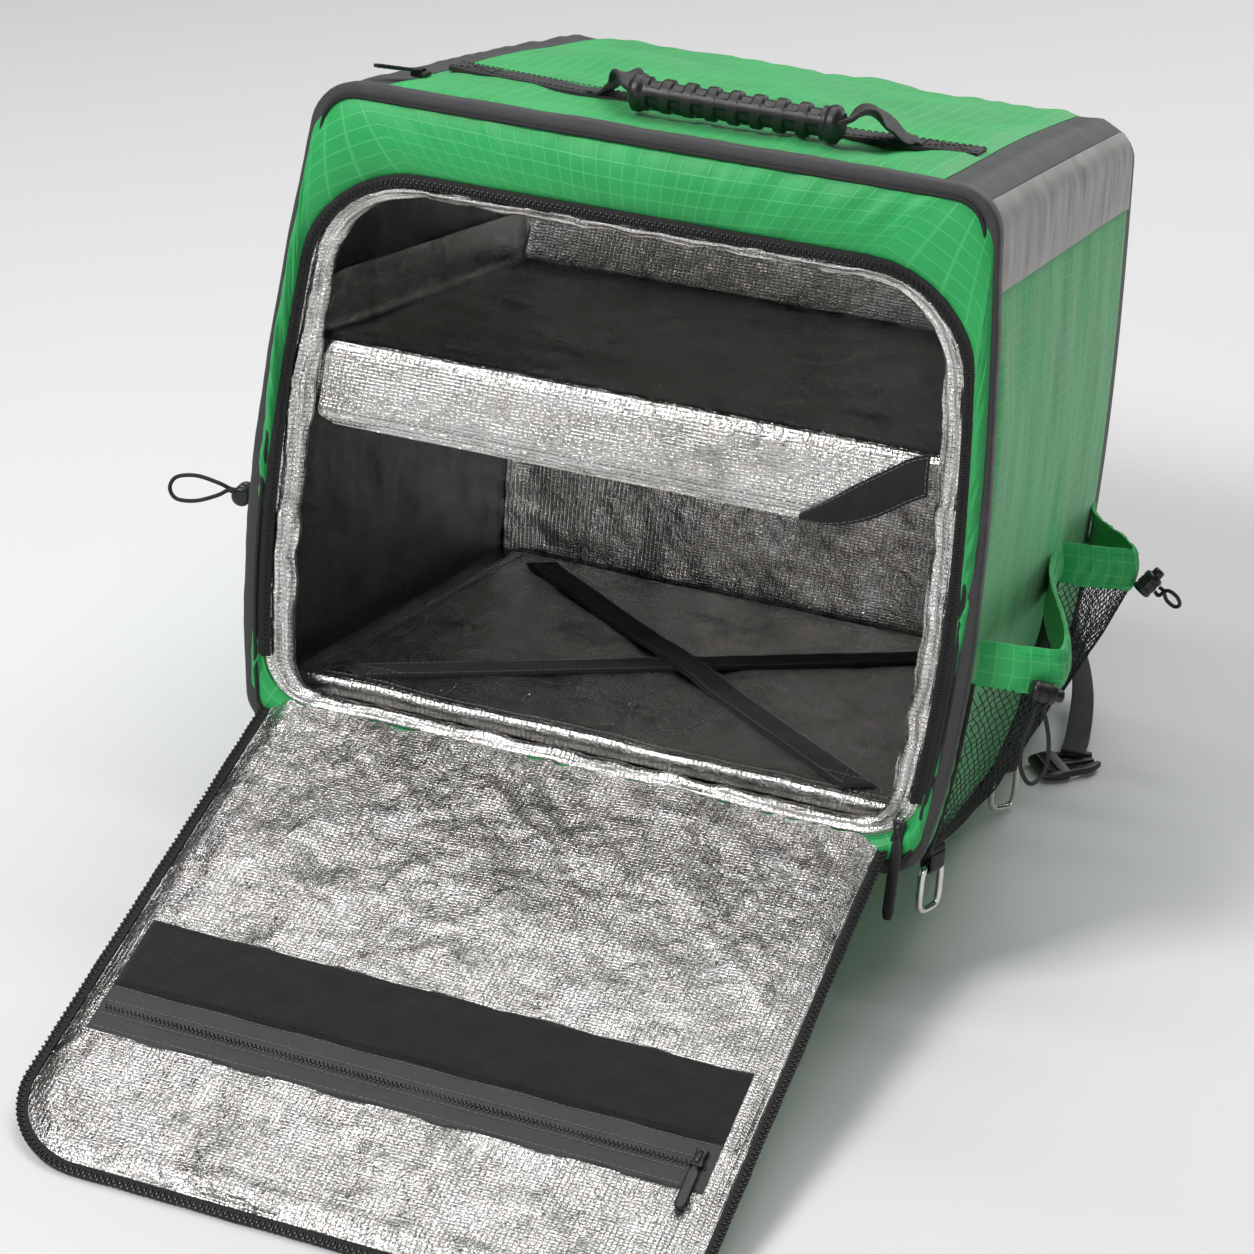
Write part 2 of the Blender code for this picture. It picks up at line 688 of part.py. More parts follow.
def keep_off_side(grid, side):
    """Holds a pocket's inner face clear of the side panel behind it, and close to it at both seams."""
    least = HALF + GAP
    grid[..., 0] = side * np.maximum(side * grid[..., 0], least)
    grid[:, (0, -1), 0] = side * least
    return grid


def build_pocket(side, name, pocket):
    net = np.array([[pocket_point(pocket, share, h, side) for share in POCKET_SHARES] for h in NET_HEIGHTS])
    outer = thickened(net, side * NET_THICKNESS)
    slab(f"{name}_net", shaped(outer), shaped(keep_off_side(net, side)), "net")
    top = np.array([pocket_point(pocket, share, 1.0, side) for share in POCKET_SHARES])
    hem = []
    for share, flare in ((0.0, 1.000), (0.5, 1.004), (1.0, 0.997)):
        row = top.copy()
        row[:, 2] = HEM_LOW + GAP + (HEM_HIGH - HEM_LOW - GAP) * share
        row[:, 0] = side * np.maximum(side * row[:, 0] * flare, HALF + GAP + SEAM_OUT)
        hem.append(row)
    hem = np.array(hem)
    outer = thickened(hem, side * HEM_THICKNESS)
    slab(f"{name}_hem", shaped(outer), shaped(keep_off_side(hem, side)), "ripstop")


def frame_along(axis):
    """Two directions square to an axis and to each other."""
    axis = Vector(axis).normalized()
    other = Vector((0, 0, 1)) if abs(axis.z) < 0.9 else Vector((0, 1, 0))
    first = axis.cross(other).normalized()
    return axis, first, axis.cross(first).normalized()


def turned(name, start, axis, profile, material, sides=12):
    """A turned piece: the profile holds how far along the axis and how wide."""
    axis, first, second = frame_along(axis)
    start = Vector(start)
    rings = []
    for along, radius in profile:
        ring = []
        for side in range(sides):
            angle = 2 * math.pi * side / sides
            spoke = first * math.cos(angle) + second * math.sin(angle)
            ring.append(start + axis * along + spoke * radius)
        rings.append(ring)
    return loft(name, rings, material)


LOCK_PROFILE = (
    (-0.0100, 0.0050),
    (-0.0085, LOCK_RADIUS),
    (0.0050, LOCK_RADIUS),
    (0.0065, 0.0052),
    (0.0066, 0.0042),
    (0.0090, 0.0042),
    (0.0115, 0.0038),
)

# How each lock lies beside its hem, which way the cord leaves it, and the loop that the cord makes, as
# steps outwards, along y and up from where it leaves
CORDS = {
    "right_front": {
        "offset": (-0.004, -0.0172, 0.004),
        "lock_axis": (0.90, 0.40, -0.15),
        "leaving": (0.10, 0.25, -1.0),
        "route": (
            (-0.0040, -0.0030, -0.012),
            (-0.0070, -0.0050, -0.027),
            (-0.0060, -0.0040, -0.043),
            (0.0010, -0.0010, -0.053),
            (0.0080, 0.0020, -0.044),
            (0.0080, 0.0030, -0.027),
            (0.0040, 0.0030, -0.012),
        ),
    },
    "right_rear": {
        "offset": (0.0135, -0.001, 0.008),
        "lock_axis": (0.55, 0.25, 0.80),
        "leaving": (1.0, 0.3, -0.45),
        "route": (
            (0.0080, -0.0050, 0.002),
            (0.0150, -0.0050, -0.001),
            (0.0170, 0.0020, -0.008),
            (0.0130, 0.0080, -0.012),
            (0.0070, 0.0060, -0.008),
        ),
    },
    "left_front": {
        "offset": (0.0115, -0.001, 0.018),
        "lock_axis": (0.10, 0.95, 0.10),
        "leaving": (1.0, 0.0, 0.05),
        "route": (
            (0.0120, -0.0010, 0.0035),
            (0.0280, -0.0020, 0.0055),
            (0.0420, -0.0030, 0.0020),
            (0.0460, -0.0040, -0.0060),
            (0.0410, -0.0030, -0.0130),
            (0.0270, -0.0020, -0.0120),
            (0.0120, -0.0010, -0.0055),
        ),
    },
    "left_rear": {
        "offset": (0.0145, -0.001, 0.008),
        "lock_axis": (0.55, 0.25, 0.80),
        "leaving": (1.0, 0.3, -0.45),
        "route": (
            (0.0080, -0.0050, 0.000),
            (0.0170, -0.0060, -0.007),
            (0.0210, 0.0010, -0.015),
            (0.0160, 0.0080, -0.017),
            (0.0080, 0.0060, -0.010),
        ),
    },
}
CORD_SPREAD = 0.0022
CORD_LEAD = 0.0040
CORD_STEPS = 4


def smooth_route(points, steps):
    """Points of a smooth curve through the route's own points, even between each pair."""
    points = np.array(points, float)
    padded = np.vstack([2 * points[0] - points[1], points, 2 * points[-1] - points[-2]])
    route = []
    for i in range(1, len(padded) - 2):
        before, start, end, after = padded[i - 1 : i + 3]
        for step in range(steps):
            t = step / steps
            route.append(
                0.5
                * (
                    2 * start
                    + (end - before) * t
                    + (2 * before - 5 * start + 4 * end - after) * t**2
                    + (3 * start - before - 3 * end + after) * t**3
                )
            )
    route.append(points[-1])
    return route


def cord_tube(name, points):
    curve = bpy.data.curves.new(name, "CURVE")
    curve.dimensions = "3D"
    curve.bevel_depth = CORD_RADIUS
    curve.bevel_resolution = 2
    curve.use_fill_caps = True
    spline = curve.splines.new("POLY")
    spline.points.add(len(points) - 1)
    for knot, point in zip(spline.points, points):
        knot.co = (*point, 1.0)
    curve.materials.append(MATERIALS["webbing"])
    obj = bpy.data.objects.new(name, curve)
    bpy.context.scene.collection.objects.link(obj)
    obj.parent = LEAN


def build_cord(side, name, pocket):
    """A cord lock at the pocket's outer corner and the loop of elastic cord that leaves it."""
    cord = CORDS[name]
    turn = (pocket["corner"] - pocket["seam"]) / (pocket["rear"] - pocket["seam"])
    corner = shaped(pocket_point(pocket, turn, 1.0, side))
    mirror = Vector((side, 1, 1))
    axis = (Vector(cord["lock_axis"]) * mirror).normalized()
    leaving = Vector(cord["leaving"]) * mirror
    leaving = (leaving - axis * leaving.dot(axis)).normalized()
    sideways = axis
    centre = Vector((corner[0], corner[1], HEM_LOW)) + Vector(cord["offset"]) * mirror
    turned(f"{name}_cord_lock", centre, axis, LOCK_PROFILE, "plastic")
    leave = centre + leaving * (LOCK_RADIUS + 3 * GAP)
    ends = [leave + sideways * CORD_SPREAD, leave - sideways * CORD_SPREAD]
    if cord["route"][0][1] < cord["route"][-1][1] - GAP:
        ends.sort(key=lambda end: end.y)
    else:
        ends.sort(key=lambda end: -end.z)
    route = [leave + Vector(step) * mirror for step in cord["route"]]
    route = [ends[0], ends[0] + leaving * CORD_LEAD, *route, ends[1] + leaving * CORD_LEAD, ends[1]]
    cord_tube(f"{name}_cord", smooth_route(route, CORD_STEPS))


def build_pockets():
    for name, pocket in POCKETS.items():
        side = 1 if name.startswith("right") else -1
        build_pocket(side, name, pocket)
        build_cord(side, name, pocket)


def ring_loop(centre, sideways, down):
    """Points round a long, square-shouldered ring between the directions sideways and down."""
    points = []
    for step in range(RING_STEPS):
        angle = 2 * math.pi * step / RING_STEPS
        across = RING_SHORT * math.copysign(abs(math.cos(angle)) ** RING_SQUARENESS, math.cos(angle))
        along = RING_LONG * math.copysign(abs(math.sin(angle)) ** RING_SQUARENESS, math.sin(angle))
        points.append(centre + sideways * across + down * along)
    return points


def build_ring(name, x, y, sideways, down):
    """A metal ring in a folded loop of webbing that is sewn to the bag's lower edge."""
    hook_radius = RING_WIRE + LOOP_PLAY
    bend = Vector((x, y, LOOP_TOP)) + down * LOOP_RISE
    centre = bend + down * (RING_LONG + LOOP_PLAY - 3 * GAP)
    points = ring_loop(centre, sideways, down)
    rings = []
    for i, point in enumerate(points):
        tangent = (points[(i + 1) % len(points)] - points[i - 1]).normalized()
        upright = sideways.cross(down).normalized()
        across = upright.cross(tangent).normalized()
        ring = []
        for side in range(RING_SIDES):
            angle = 2 * math.pi * side / RING_SIDES
            ring.append(point + (across * math.cos(angle) + upright * math.sin(angle)) * RING_WIRE)
        rings.append(ring)
    loft(f"{name}_ring", rings, "steel", wrap=True)
    forward = sideways.cross(down).normalized()
    spokes = []
    for step in range(9):
        angle = math.pi * step / 8
        spokes.append(forward * math.cos(angle) + down * math.sin(angle))
    skins = []
    for radius in (hook_radius + WEBBING_THICKNESS, hook_radius):
        path = [bend + spoke * radius for spoke in spokes]
        path.insert(0, path[0] - down * LOOP_RISE)
        path.append(path[-1] - down * LOOP_RISE)
        skins.append([[point + sideways * half for half in (-LOOP_HALF, LOOP_HALF)] for point in path])
    slab(f"{name}_ring_loop", skins[0], skins[1], "webbing")


def lower_corner_x(y, z):
    """How far out the rounded lower edge of the side stands at this height."""
    straight = HALF - LOW_RADIUS + math.sqrt(LOW_RADIUS**2 - (LOW_RADIUS - z) ** 2)
    return float(shaped((straight, y, z))[0])


def build_rings(lean):
    """Two rings hang by gravity from each lower side edge."""
    down = Vector((0, math.sin(lean), -math.cos(lean)))
    for side, side_name in ((1, "right"), (-1, "left")):
        for place, ring in RING_PLACES.items():
            turn = math.radians(ring["turn"])
            sideways = Vector((side * math.cos(turn), math.sin(turn), 0))
            sideways = (sideways - down * sideways.dot(down)).normalized()
            x = side * (lower_corner_x(ring["y"], LOOP_TOP) + LOOP_REACH)
            build_ring(f"{side_name}_{place}", x, ring["y"], sideways, down)


def build_sliders():
    """The hinge-end slider with its hanging pull, and the one on the left zip of the top."""
    x = 0.2195
    stations = (
        ((x - 0.001, -0.0032, 0.036), 0.0042, 0.0026),
        ((x - 0.001, -0.0034, 0.023), 0.0042, 0.0028),
        ((x, -0.0042, 0.020), 0.0020, 0.0016),
        ((x, -0.0050, 0.016), 0.0032, 0.0020),
        ((x, -0.0050, -0.010), 0.0040, 0.0022),
        ((x, -0.0040, -0.030), 0.0038, 0.0020),
    )
    bar("hinge_slider", stations, (1, 0, 0), "plastic")
    z = HEIGHT + 0.0038
    stations = (
        ((-0.180, 0.070, z), 0.0045, 0.0028),
        ((-0.180, 0.058, z), 0.0050, 0.0030),
        ((-0.181, 0.055, z + 0.001), 0.0022, 0.0016),
        ((-0.183, 0.051, z + 0.002), 0.0034, 0.0018),
        ((-0.196, 0.026, z + 0.006), 0.0036, 0.0018),
    )
    bar("top_slider", stations, (1, 0.5, 0), "plastic")


def strap_path(name, points, half_width, half_thick, across, material):
    stations = [(point, half_width, half_thick) for point in points]
    return bar(name, stations, across, material)


def build_shoulder_straps():
    """Two padded straps down the back, each ending in a length of webbing."""
    half_thick = 0.005
    for side, side_name in ((1, "right"), (-1, "left")):
        route = (
            (side * 0.075, DEPTH + GAP + half_thick, 0.385),
            (side * 0.080, DEPTH + 0.0130, 0.362),
            (side * 0.088, DEPTH + 0.028, 0.335),
            (side * 0.098, DEPTH + 0.046, 0.285),
            (side * 0.110, DEPTH + 0.050, 0.225),
            (side * 0.120, DEPTH + 0.042, 0.165),
        )
        points = smooth_route(route, 3)
        strap_path(f"{side_name}_shoulder_strap", points, 0.030, half_thick, (1, 0, 0), "webbing")
        route = (
            (side * 0.1205, DEPTH + 0.0405, 0.1575),
            (side * 0.132, DEPTH + 0.030, 0.120),
            (side * 0.146, DEPTH + 0.012, 0.075),
            (side * 0.153, DEPTH + 0.0045, 0.052),
            (side * 0.156, DEPTH + GAP + 0.0013, 0.036),
        )
        points = smooth_route(route, 3)
        strap_path(f"{side_name}_strap_webbing", points, WEBBING / 2, 0.001, (1, 0, 0), "webbing")


def floor_z(y, height, lean, rear_world):
    """The z in the bag's frame of a point this high above the floor at this y."""
    return (height + y * math.sin(lean) - rear_world) / math.cos(lean)


def build_waist_straps(lean):
    """A hip strap from each rear lower corner, lying out to the side and ending in a buckle half."""
    rear_world = DEPTH * math.sin(lean)
    for side, side_name in ((1, "right"), (-1, "left")):
        edge = side_x(0.430, 0.050)
        route = (
            (side * (edge + 0.0027), 0.4290, 0.061),
            (side * (edge + 0.0046), 0.4285, 0.049),
            (side * (edge + 0.0130), 0.4190, floor_z(0.4190, 0.038, lean, rear_world)),
            (side * (edge + 0.0230), 0.3930, floor_z(0.3930, 0.025, lean, rear_world)),
            (side * (edge + 0.0290), 0.3620, floor_z(0.3620, 0.0135, lean, rear_world)),
            (side * (edge + 0.0310), 0.3400, floor_z(0.3400, 0.0107, lean, rear_world)),
        )
        points = smooth_route(route, 3)
        turns = np.linspace(0, 1, len(points))[:, None]
        across = (1 - turns) * np.array([0.0, 1.0, -0.2]) + turns * np.array([side, 0.1, 0.0])
        strap_path(f"{side_name}_waist_strap", points, 0.009, 0.0010, across, "webbing")
        stations = []
        for along, half_width, half_thick in (
            (0.000, 0.0150, 0.0030),
            (0.008, 0.0170, 0.0042),
            (0.022, 0.0165, 0.0045),
            (0.030, 0.0130, 0.0040),
            (0.050, 0.0100, 0.0030),
        ):
            x = side * (edge + 0.010 + along * 0.75)
            y = 0.318 + along * 0.60
            centre = (x, y, floor_z(y, 0.0050, lean, rear_world))
            stations.append((centre, half_width, half_thick))
        facing = (0, -math.sin(lean), math.cos(lean))
        across = (-side * 0.60, 0.75 * math.cos(lean), 0.75 * math.sin(lean))
        bar(f"{side_name}_buckle_half", stations, across, "plastic", facing)


def lean_angle():
    """The lean that sets the flap's far underside and the rear bottom edge on one floor."""
    _, far_y, far_z = flap_point(0.0, FLAP_LENGTH, -FLAP_THICKNESS)
    return math.atan2(-far_z, DEPTH - far_y)


def settle(lean):
    """Tips the bag back and puts the origin at the bottom centre of its bounding box."""
    LEAN.rotation_euler = (-lean, 0.0, 0.0)
    turn = Matrix.Rotation(-lean, 4, "X")
    corners = []
    for obj in bpy.context.scene.objects:
        if obj.type == "MESH" and not obj.name.endswith("_cord_lock"):
            corners.extend(turn @ vertex.co for vertex in obj.data.vertices)
    corners = np.array(corners)
    low = corners.min(axis=0)
    high = corners.max(axis=0)
    LEAN.location = (-(low[0] + high[0]) / 2, -(low[1] + high[1]) / 2, -low[2])


def main():
    lean = lean_angle()
    build_shell()
    build_reflective_bands()
    build_front_and_back()
    build_edge_trim()
    build_lining()
    build_jamb()
    build_opening_zip()
    build_flap()
    build_flap_zip()
    build_flap_details()
    build_floor()
    build_shelf()
    build_lip_tape()
    build_handle()
    build_pockets()
    build_rings(lean)
    build_sliders()
    build_shoulder_straps()
    build_waist_straps(lean)
    settle(lean)


main()
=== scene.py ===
"""The cooler backpack's looks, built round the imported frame.

Pieces are modelled in the bag's own frame, as in the part's source: x to the right, y from the front
plane to the back, z up from the underside. The function bag() carries them to the frame's place, where
the whole bag leans back on its rear bottom edge.
"""

import math

import bmesh
import bpy
import numpy as np
from mathutils import Matrix, Vector


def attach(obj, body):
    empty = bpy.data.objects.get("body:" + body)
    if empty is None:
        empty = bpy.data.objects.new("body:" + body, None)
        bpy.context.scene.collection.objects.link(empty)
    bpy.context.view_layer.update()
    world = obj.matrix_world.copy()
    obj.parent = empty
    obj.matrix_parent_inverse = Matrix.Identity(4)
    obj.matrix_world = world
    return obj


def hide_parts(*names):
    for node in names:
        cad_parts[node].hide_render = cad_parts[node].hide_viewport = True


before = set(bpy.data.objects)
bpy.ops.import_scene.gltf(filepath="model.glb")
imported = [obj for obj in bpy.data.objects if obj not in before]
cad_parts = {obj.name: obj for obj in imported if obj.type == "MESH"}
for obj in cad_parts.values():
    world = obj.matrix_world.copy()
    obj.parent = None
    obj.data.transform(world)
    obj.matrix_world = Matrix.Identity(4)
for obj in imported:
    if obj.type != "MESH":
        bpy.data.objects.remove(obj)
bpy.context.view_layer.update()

# The bag's place in the frame
LEAN = math.radians(11.843556)
PLACE = np.array([-0.0073522, -0.0815593, 0.0903057])

# The box, as in the part's source
DEPTH = 0.44
HEIGHT = 0.435
HALF = 0.22
LOW_RADIUS = 0.020
HIGH_RADIUS = 0.025
WALL = 0.008
BASE_WALL = 0.018
BACK_WALL = 0.020
GAP = 0.0003
SIDE_BULGE = 0.025
TOP_PUFF = 0.010
REAR_DROP = 0.007
REAR_DROP_RUN = 0.050

# Camera matrix rows from a solve of the box's corners
CAMERA_ROWS = (
    (0.93495619, -0.20317790, 0.29081929, 0.60642475),
    (0.35223347, 0.43391716, -0.82924515, -1.73990738),
    (0.04229277, 0.87774408, 0.47725955, 1.17875838),
    (0.0, 0.0, 0.0, 1.0),
)
LENS = 91.27733612


def bag(points):
    """Carries points of the bag's frame to the row's frame."""
    points = np.asarray(points, float)
    c, s = math.cos(LEAN), math.sin(LEAN)
    x, y, z = points[..., 0], points[..., 1], points[..., 2]
    return np.stack([x, y * c + z * s, -y * s + z * c], axis=-1) + PLACE


def side_bulge(y, z):
    rise = np.clip(z / HEIGHT, 0.0, 1.0) ** 0.8
    along = 1.0 - 0.36 * np.clip(y / DEPTH, 0.0, 1.0)
    return SIDE_BULGE * along * np.sin(math.pi * (0.13 + 0.87 * rise))


def top_shift(x, y):
    share = np.clip(y / DEPTH, 0.0, 1.0)
    puff = TOP_PUFF * (1 - np.clip(x / HALF, -1, 1) ** 2) * np.sin(math.pi * share) ** 2
    over = np.clip((y - (DEPTH - REAR_DROP_RUN)) / REAR_DROP_RUN, 0.0, 1.0)
    return puff - REAR_DROP * over**2


def shaped(points):
    """Carries points of the straight box to the bulging bag."""
    points = np.array(points, float)
    x, y, z = points[..., 0], points[..., 1], points[..., 2]
    high = np.clip(z / HEIGHT, 0.0, 1.0) ** 4
    return np.stack([x * (1 + side_bulge(y, z) / HALF), y, z + high * top_shift(x, y)], axis=-1)


def unit(vectors):
    vectors = np.asarray(vectors, float)
    return vectors / np.maximum(np.linalg.norm(vectors, axis=-1, keepdims=True), 1e-12)


def smoothstep(low, high, value):
    t = np.clip((np.asarray(value, float) - low) / (high - low), 0.0, 1.0)
    return t * t * (3 - 2 * t)


def soft_noise(u, v, scale, seed, octaves=3):
    """Smooth noise from -1 to 1 over two coordinates in metres, with features of about this scale."""
    rng = np.random.default_rng(seed)
    total = np.zeros(np.broadcast(u, v).shape)
    weight = 0.0
    for octave in range(octaves):
        for _ in range(5):
            angle = rng.uniform(0, math.tau)
            size = scale / 2**octave * rng.uniform(0.7, 1.4)
            phase = rng.uniform(0, math.tau)
            total += np.sin(
                (u * math.cos(angle) + v * math.sin(angle)) * math.tau / size + phase
            ) / 2**octave
        weight += 2.2 / 2**octave
    return total / weight


def crease_noise(u, v, scale, seed, folds=9):
    """Crumpled noise from -1 to 1: flat facets that meet in sharp creases."""
    rng = np.random.default_rng(seed)
    warp_u = u + soft_noise(u, v, scale * 2.2, seed + 50, 2) * scale * 0.35
    warp_v = v + soft_noise(u, v, scale * 2.2, seed + 51, 2) * scale * 0.35
    total = np.zeros(np.broadcast(u, v).shape)
    weight = 0.0
    for _ in range(folds):
        angle = rng.uniform(0, math.tau)
        size = scale * rng.uniform(0.6, 1.8)
        wave = ((warp_u * math.cos(angle) + warp_v * math.sin(angle)) / size + rng.uniform(0, 1)) % 1.0
        amount = rng.uniform(0.5, 1.0)
        total += (np.abs(wave * 2 - 1) * 2 - 1) * amount
        weight += amount**2
    return total / math.sqrt(weight) / 1.2


def normals_of(grid):
    along = np.gradient(grid, axis=0)
    across = np.gradient(grid, axis=1)
    return unit(np.cross(along, across))


def make_object(name, points, faces, uvs, material):
    """A mesh object from points in the bag's frame, with a cloth coordinate in metres for each point."""
    mesh = bpy.data.meshes.new(name)
    mesh.from_pydata([tuple(p) for p in bag(points)], [], [tuple(f) for f in faces])
    layer = mesh.uv_layers.new(name="cloth")
    loops = np.empty(len(mesh.loops), np.int32)
    mesh.loops.foreach_get("vertex_index", loops)
    uvs = np.asarray(uvs, np.float32)
    layer.data.foreach_set("uv", uvs[loops].ravel())
    mesh.materials.append(material)
    bm = bmesh.new()
    bm.from_mesh(mesh)
    bmesh.ops.recalc_face_normals(bm, faces=bm.faces)
    if bm.calc_volume(signed=True) < 0:
        bmesh.ops.reverse_faces(bm, faces=bm.faces)
    bm.to_mesh(mesh)
    bm.free()
    mesh.shade_smooth()
    mesh.set_sharp_from_angle(angle=math.radians(50))
    obj = bpy.data.objects.new(name, mesh)
    bpy.context.scene.collection.objects.link(obj)
    return obj


def slab(name, outer, inner, uv, material, wrap=False):
    """One closed body between two matching grids of points. With wrap, the last row meets the first."""
    rows, columns = outer.shape[:2]
    count = rows * columns
    index = np.arange(count).reshape(rows, columns)
    other = index + count
    faces = []
    last = rows if wrap else rows - 1
    for i in range(last):
        j = (i + 1) % rows
        for k in range(columns - 1):
            faces.append((index[i, k], index[j, k], index[j, k + 1], index[i, k + 1]))
            faces.append((other[i, k], other[i, k + 1], other[j, k + 1], other[j, k]))
        for k in (0, -1):
            ring = (index[i, k], index[j, k], other[j, k], other[i, k])
            faces.append(ring if k == -1 else ring[::-1])
    if not wrap:
        for i in (0, -1):
            for k in range(columns - 1):
                ring = (index[i, k], index[i, k + 1], other[i, k + 1], other[i, k])
                faces.append(ring if i == 0 else ring[::-1])
    points = np.concatenate([outer.reshape(-1, 3), inner.reshape(-1, 3)])
    uvs = np.concatenate([uv.reshape(-1, 2), uv.reshape(-1, 2)])
    return make_object(name, points, faces, uvs, material)


def tube_arrays(path, radius, sides, start_index):
    """Points and faces of a closed tube along a path."""
    path = np.asarray(path, float)
    tangent = unit(np.gradient(path, axis=0))
    radius = np.broadcast_to(np.asarray(radius, float), (len(path),))
    reference = np.array([0.31, 0.22, 0.92])
    first = unit(np.cross(tangent, reference))
    second = np.cross(tangent, first)
    turns = np.arange(sides) * math.tau / sides
    rings = path[:, None] + radius[:, None, None] * (
        first[:, None] * np.cos(turns)[None, :, None] + second[:, None] * np.sin(turns)[None, :, None]
    )
    faces = []
    for i in range(len(path) - 1):
        base = start_index + i * sides
        for k in range(sides):
            n = (k + 1) % sides
            faces.append((base + k, base + n, base + sides + n, base + sides + k))
    faces.append(tuple(start_index + k for k in range(sides))[::-1])
    end = start_index + (len(path) - 1) * sides
    faces.append(tuple(end + k for k in range(sides)))
    return rings.reshape(-1, 3), faces


def tubes(name, paths, radius, material, sides):
    """Many closed tubes as one joined mesh."""
    points = []
    faces = []
    count = 0
    for path in paths:
        more, more_faces = tube_arrays(path, radius, sides, count)
        points.append(more)
        faces.extend(more_faces)
        count += len(more)
    points = np.concatenate(points)
    uvs = points[:, :2]
    return make_object(name, points, faces, uvs, material)


def loft(name, rings, material, wrap=False, uvs=None):
    """Closed rings joined in turn and capped, or joined last to first with wrap."""
    rings = np.asarray(rings, float)
    rows, count = rings.shape[:2]
    index = np.arange(rows * count).reshape(rows, count)
    faces = []
    for i in range(rows if wrap else rows - 1):
        j = (i + 1) % rows
        for k in range(count):
            n = (k + 1) % count
            faces.append((index[i, k], index[i, n], index[j, n], index[j, k]))
    if not wrap:
        faces.append(tuple(index[0])[::-1])
        faces.append(tuple(index[-1]))
    if uvs is None:
        around = np.linspace(0, 0.04, count)
        along = np.cumsum([0.0, *np.linalg.norm(np.diff(rings.mean(axis=1), axis=0), axis=1)])
        uvs = np.stack(np.meshgrid(along, around, indexing="ij"), axis=-1)
    return make_object(name, rings.reshape(-1, 3), faces, np.asarray(uvs).reshape(-1, 2), material)


def resampled(path, spacing):
    """Points evenly spaced along a polyline."""
    path = np.asarray(path, float)
    lengths = np.concatenate([[0.0], np.cumsum(np.linalg.norm(np.diff(path, axis=0), axis=1))])
    count = max(2, int(round(lengths[-1] / spacing)) + 1)
    places = np.linspace(0, lengths[-1], count)
    return np.stack([np.interp(places, lengths, path[:, k]) for k in range(path.shape[1])], axis=1)


def smooth_route(points, steps):
    """Points of a smooth curve through the route's own points, as in the part's source."""
    points = np.array(points, float)
    padded = np.vstack([2 * points[0] - points[1], points, 2 * points[-1] - points[-2]])
    route = []
    for i in range(1, len(padded) - 2):
        before, start, end, after = padded[i - 1 : i + 3]
        for step in range(steps):
            t = step / steps
            bend = (2 * before - 5 * start + 4 * end - after) * t**2
            turn = (3 * start - before - 3 * end + after) * t**3
            route.append(0.5 * (2 * start + (end - before) * t + bend + turn))
    route.append(points[-1])
    return np.array(route)


STITCH_PITCH = 0.0043


def stitches(name, paths, material, radius):
    """Sewn stitches along paths, each a short low thread that dips at both ends. Each path has its lift."""
    made = []
    rise = np.array([0.0, 0.8, 1.0, 0.8, 0.0])[:, None]
    for path, lift in paths:
        dense = resampled(path, STITCH_PITCH / 6)
        for start in range(0, len(dense) - 4, 6):
            made.append(dense[start : start + 5] + np.asarray(lift, float) * rise)
    return tubes(name, made, radius, material, sides=4)


def ride(obj, slot, *nodes):
    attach(obj, "root")
    if nodes:
        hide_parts(*nodes)
    return obj


def sheet(name, face, back, uv, material, slot, *nodes, wrap=False):
    return ride(slab(name, face, back, np.stack(uv, axis=-1), material, wrap), slot, *nodes)


def sewn(name, lines, material, radius, slot):
    return ride(stitches(name, lines, material, radius), slot)


# Materials


def new_material(name, colour, roughness, metallic=0.0, **sockets):
    made = bpy.data.materials.new(name)
    made.use_nodes = True
    shader = made.node_tree.nodes["Principled BSDF"]
    shader.inputs["Base Color"].default_value = (*colour, 1.0)
    shader.inputs["Roughness"].default_value = roughness
    shader.inputs["Metallic"].default_value = metallic
    for key, value in sockets.items():
        shader.inputs[key.replace("_", " ")].default_value = value
    return made, made.node_tree, shader


def node(tree, kind, settings=None, inputs=None):
    made = tree.nodes.new(kind)
    for key, value in (settings or {}).items():
        setattr(made, key, value)
    for key, value in (inputs or {}).items():
        if isinstance(value, bpy.types.NodeSocket):
            tree.links.new(value, made.inputs[key])
        else:
            made.inputs[key].default_value = value
    return made


def cloth_axes(tree):
    """The cloth coordinates in metres, across and along."""
    uv = node(tree, "ShaderNodeUVMap", {"uv_map": "cloth"})
    split = node(tree, "ShaderNodeSeparateXYZ", inputs={0: uv.outputs[0]})
    return split.outputs[0], split.outputs[1]


def place(tree):
    return node(tree, "ShaderNodeTexCoord").outputs["Object"]


def line_mask(tree, axis, pitch, width):
    """One on thin lines this far apart and nought between them."""
    scaled = node(tree, "ShaderNodeMath", {"operation": "DIVIDE"}, {0: axis, 1: pitch})
    fold = node(tree, "ShaderNodeMath", {"operation": "PINGPONG"}, {0: scaled.outputs[0], 1: 0.5})
    ranged = node(
        tree,
        "ShaderNodeMapRange",
        {"interpolation_type": "SMOOTHSTEP"},
        {
            "Value": fold.outputs[0],
            "From Min": 0.0,
            "From Max": width / pitch,
            "To Min": 1.0,
            "To Max": 0.0,
        },
    )
    return ranged.outputs[0]


def math_node(tree, operation, first, second):
    return node(tree, "ShaderNodeMath", {"operation": operation}, {0: first, 1: second}).outputs[0]


def noise(tree, scale, detail=3.0, roughness=0.55, kind="FBM", distortion=0.0):
    made = node(
        tree,
        "ShaderNodeTexNoise",
        {"noise_type": kind},
        {"Vector": place(tree), "Scale": scale, "Detail": detail, "Roughness": roughness},
    )
    made.inputs["Distortion"].default_value = distortion
    return made.outputs[0]


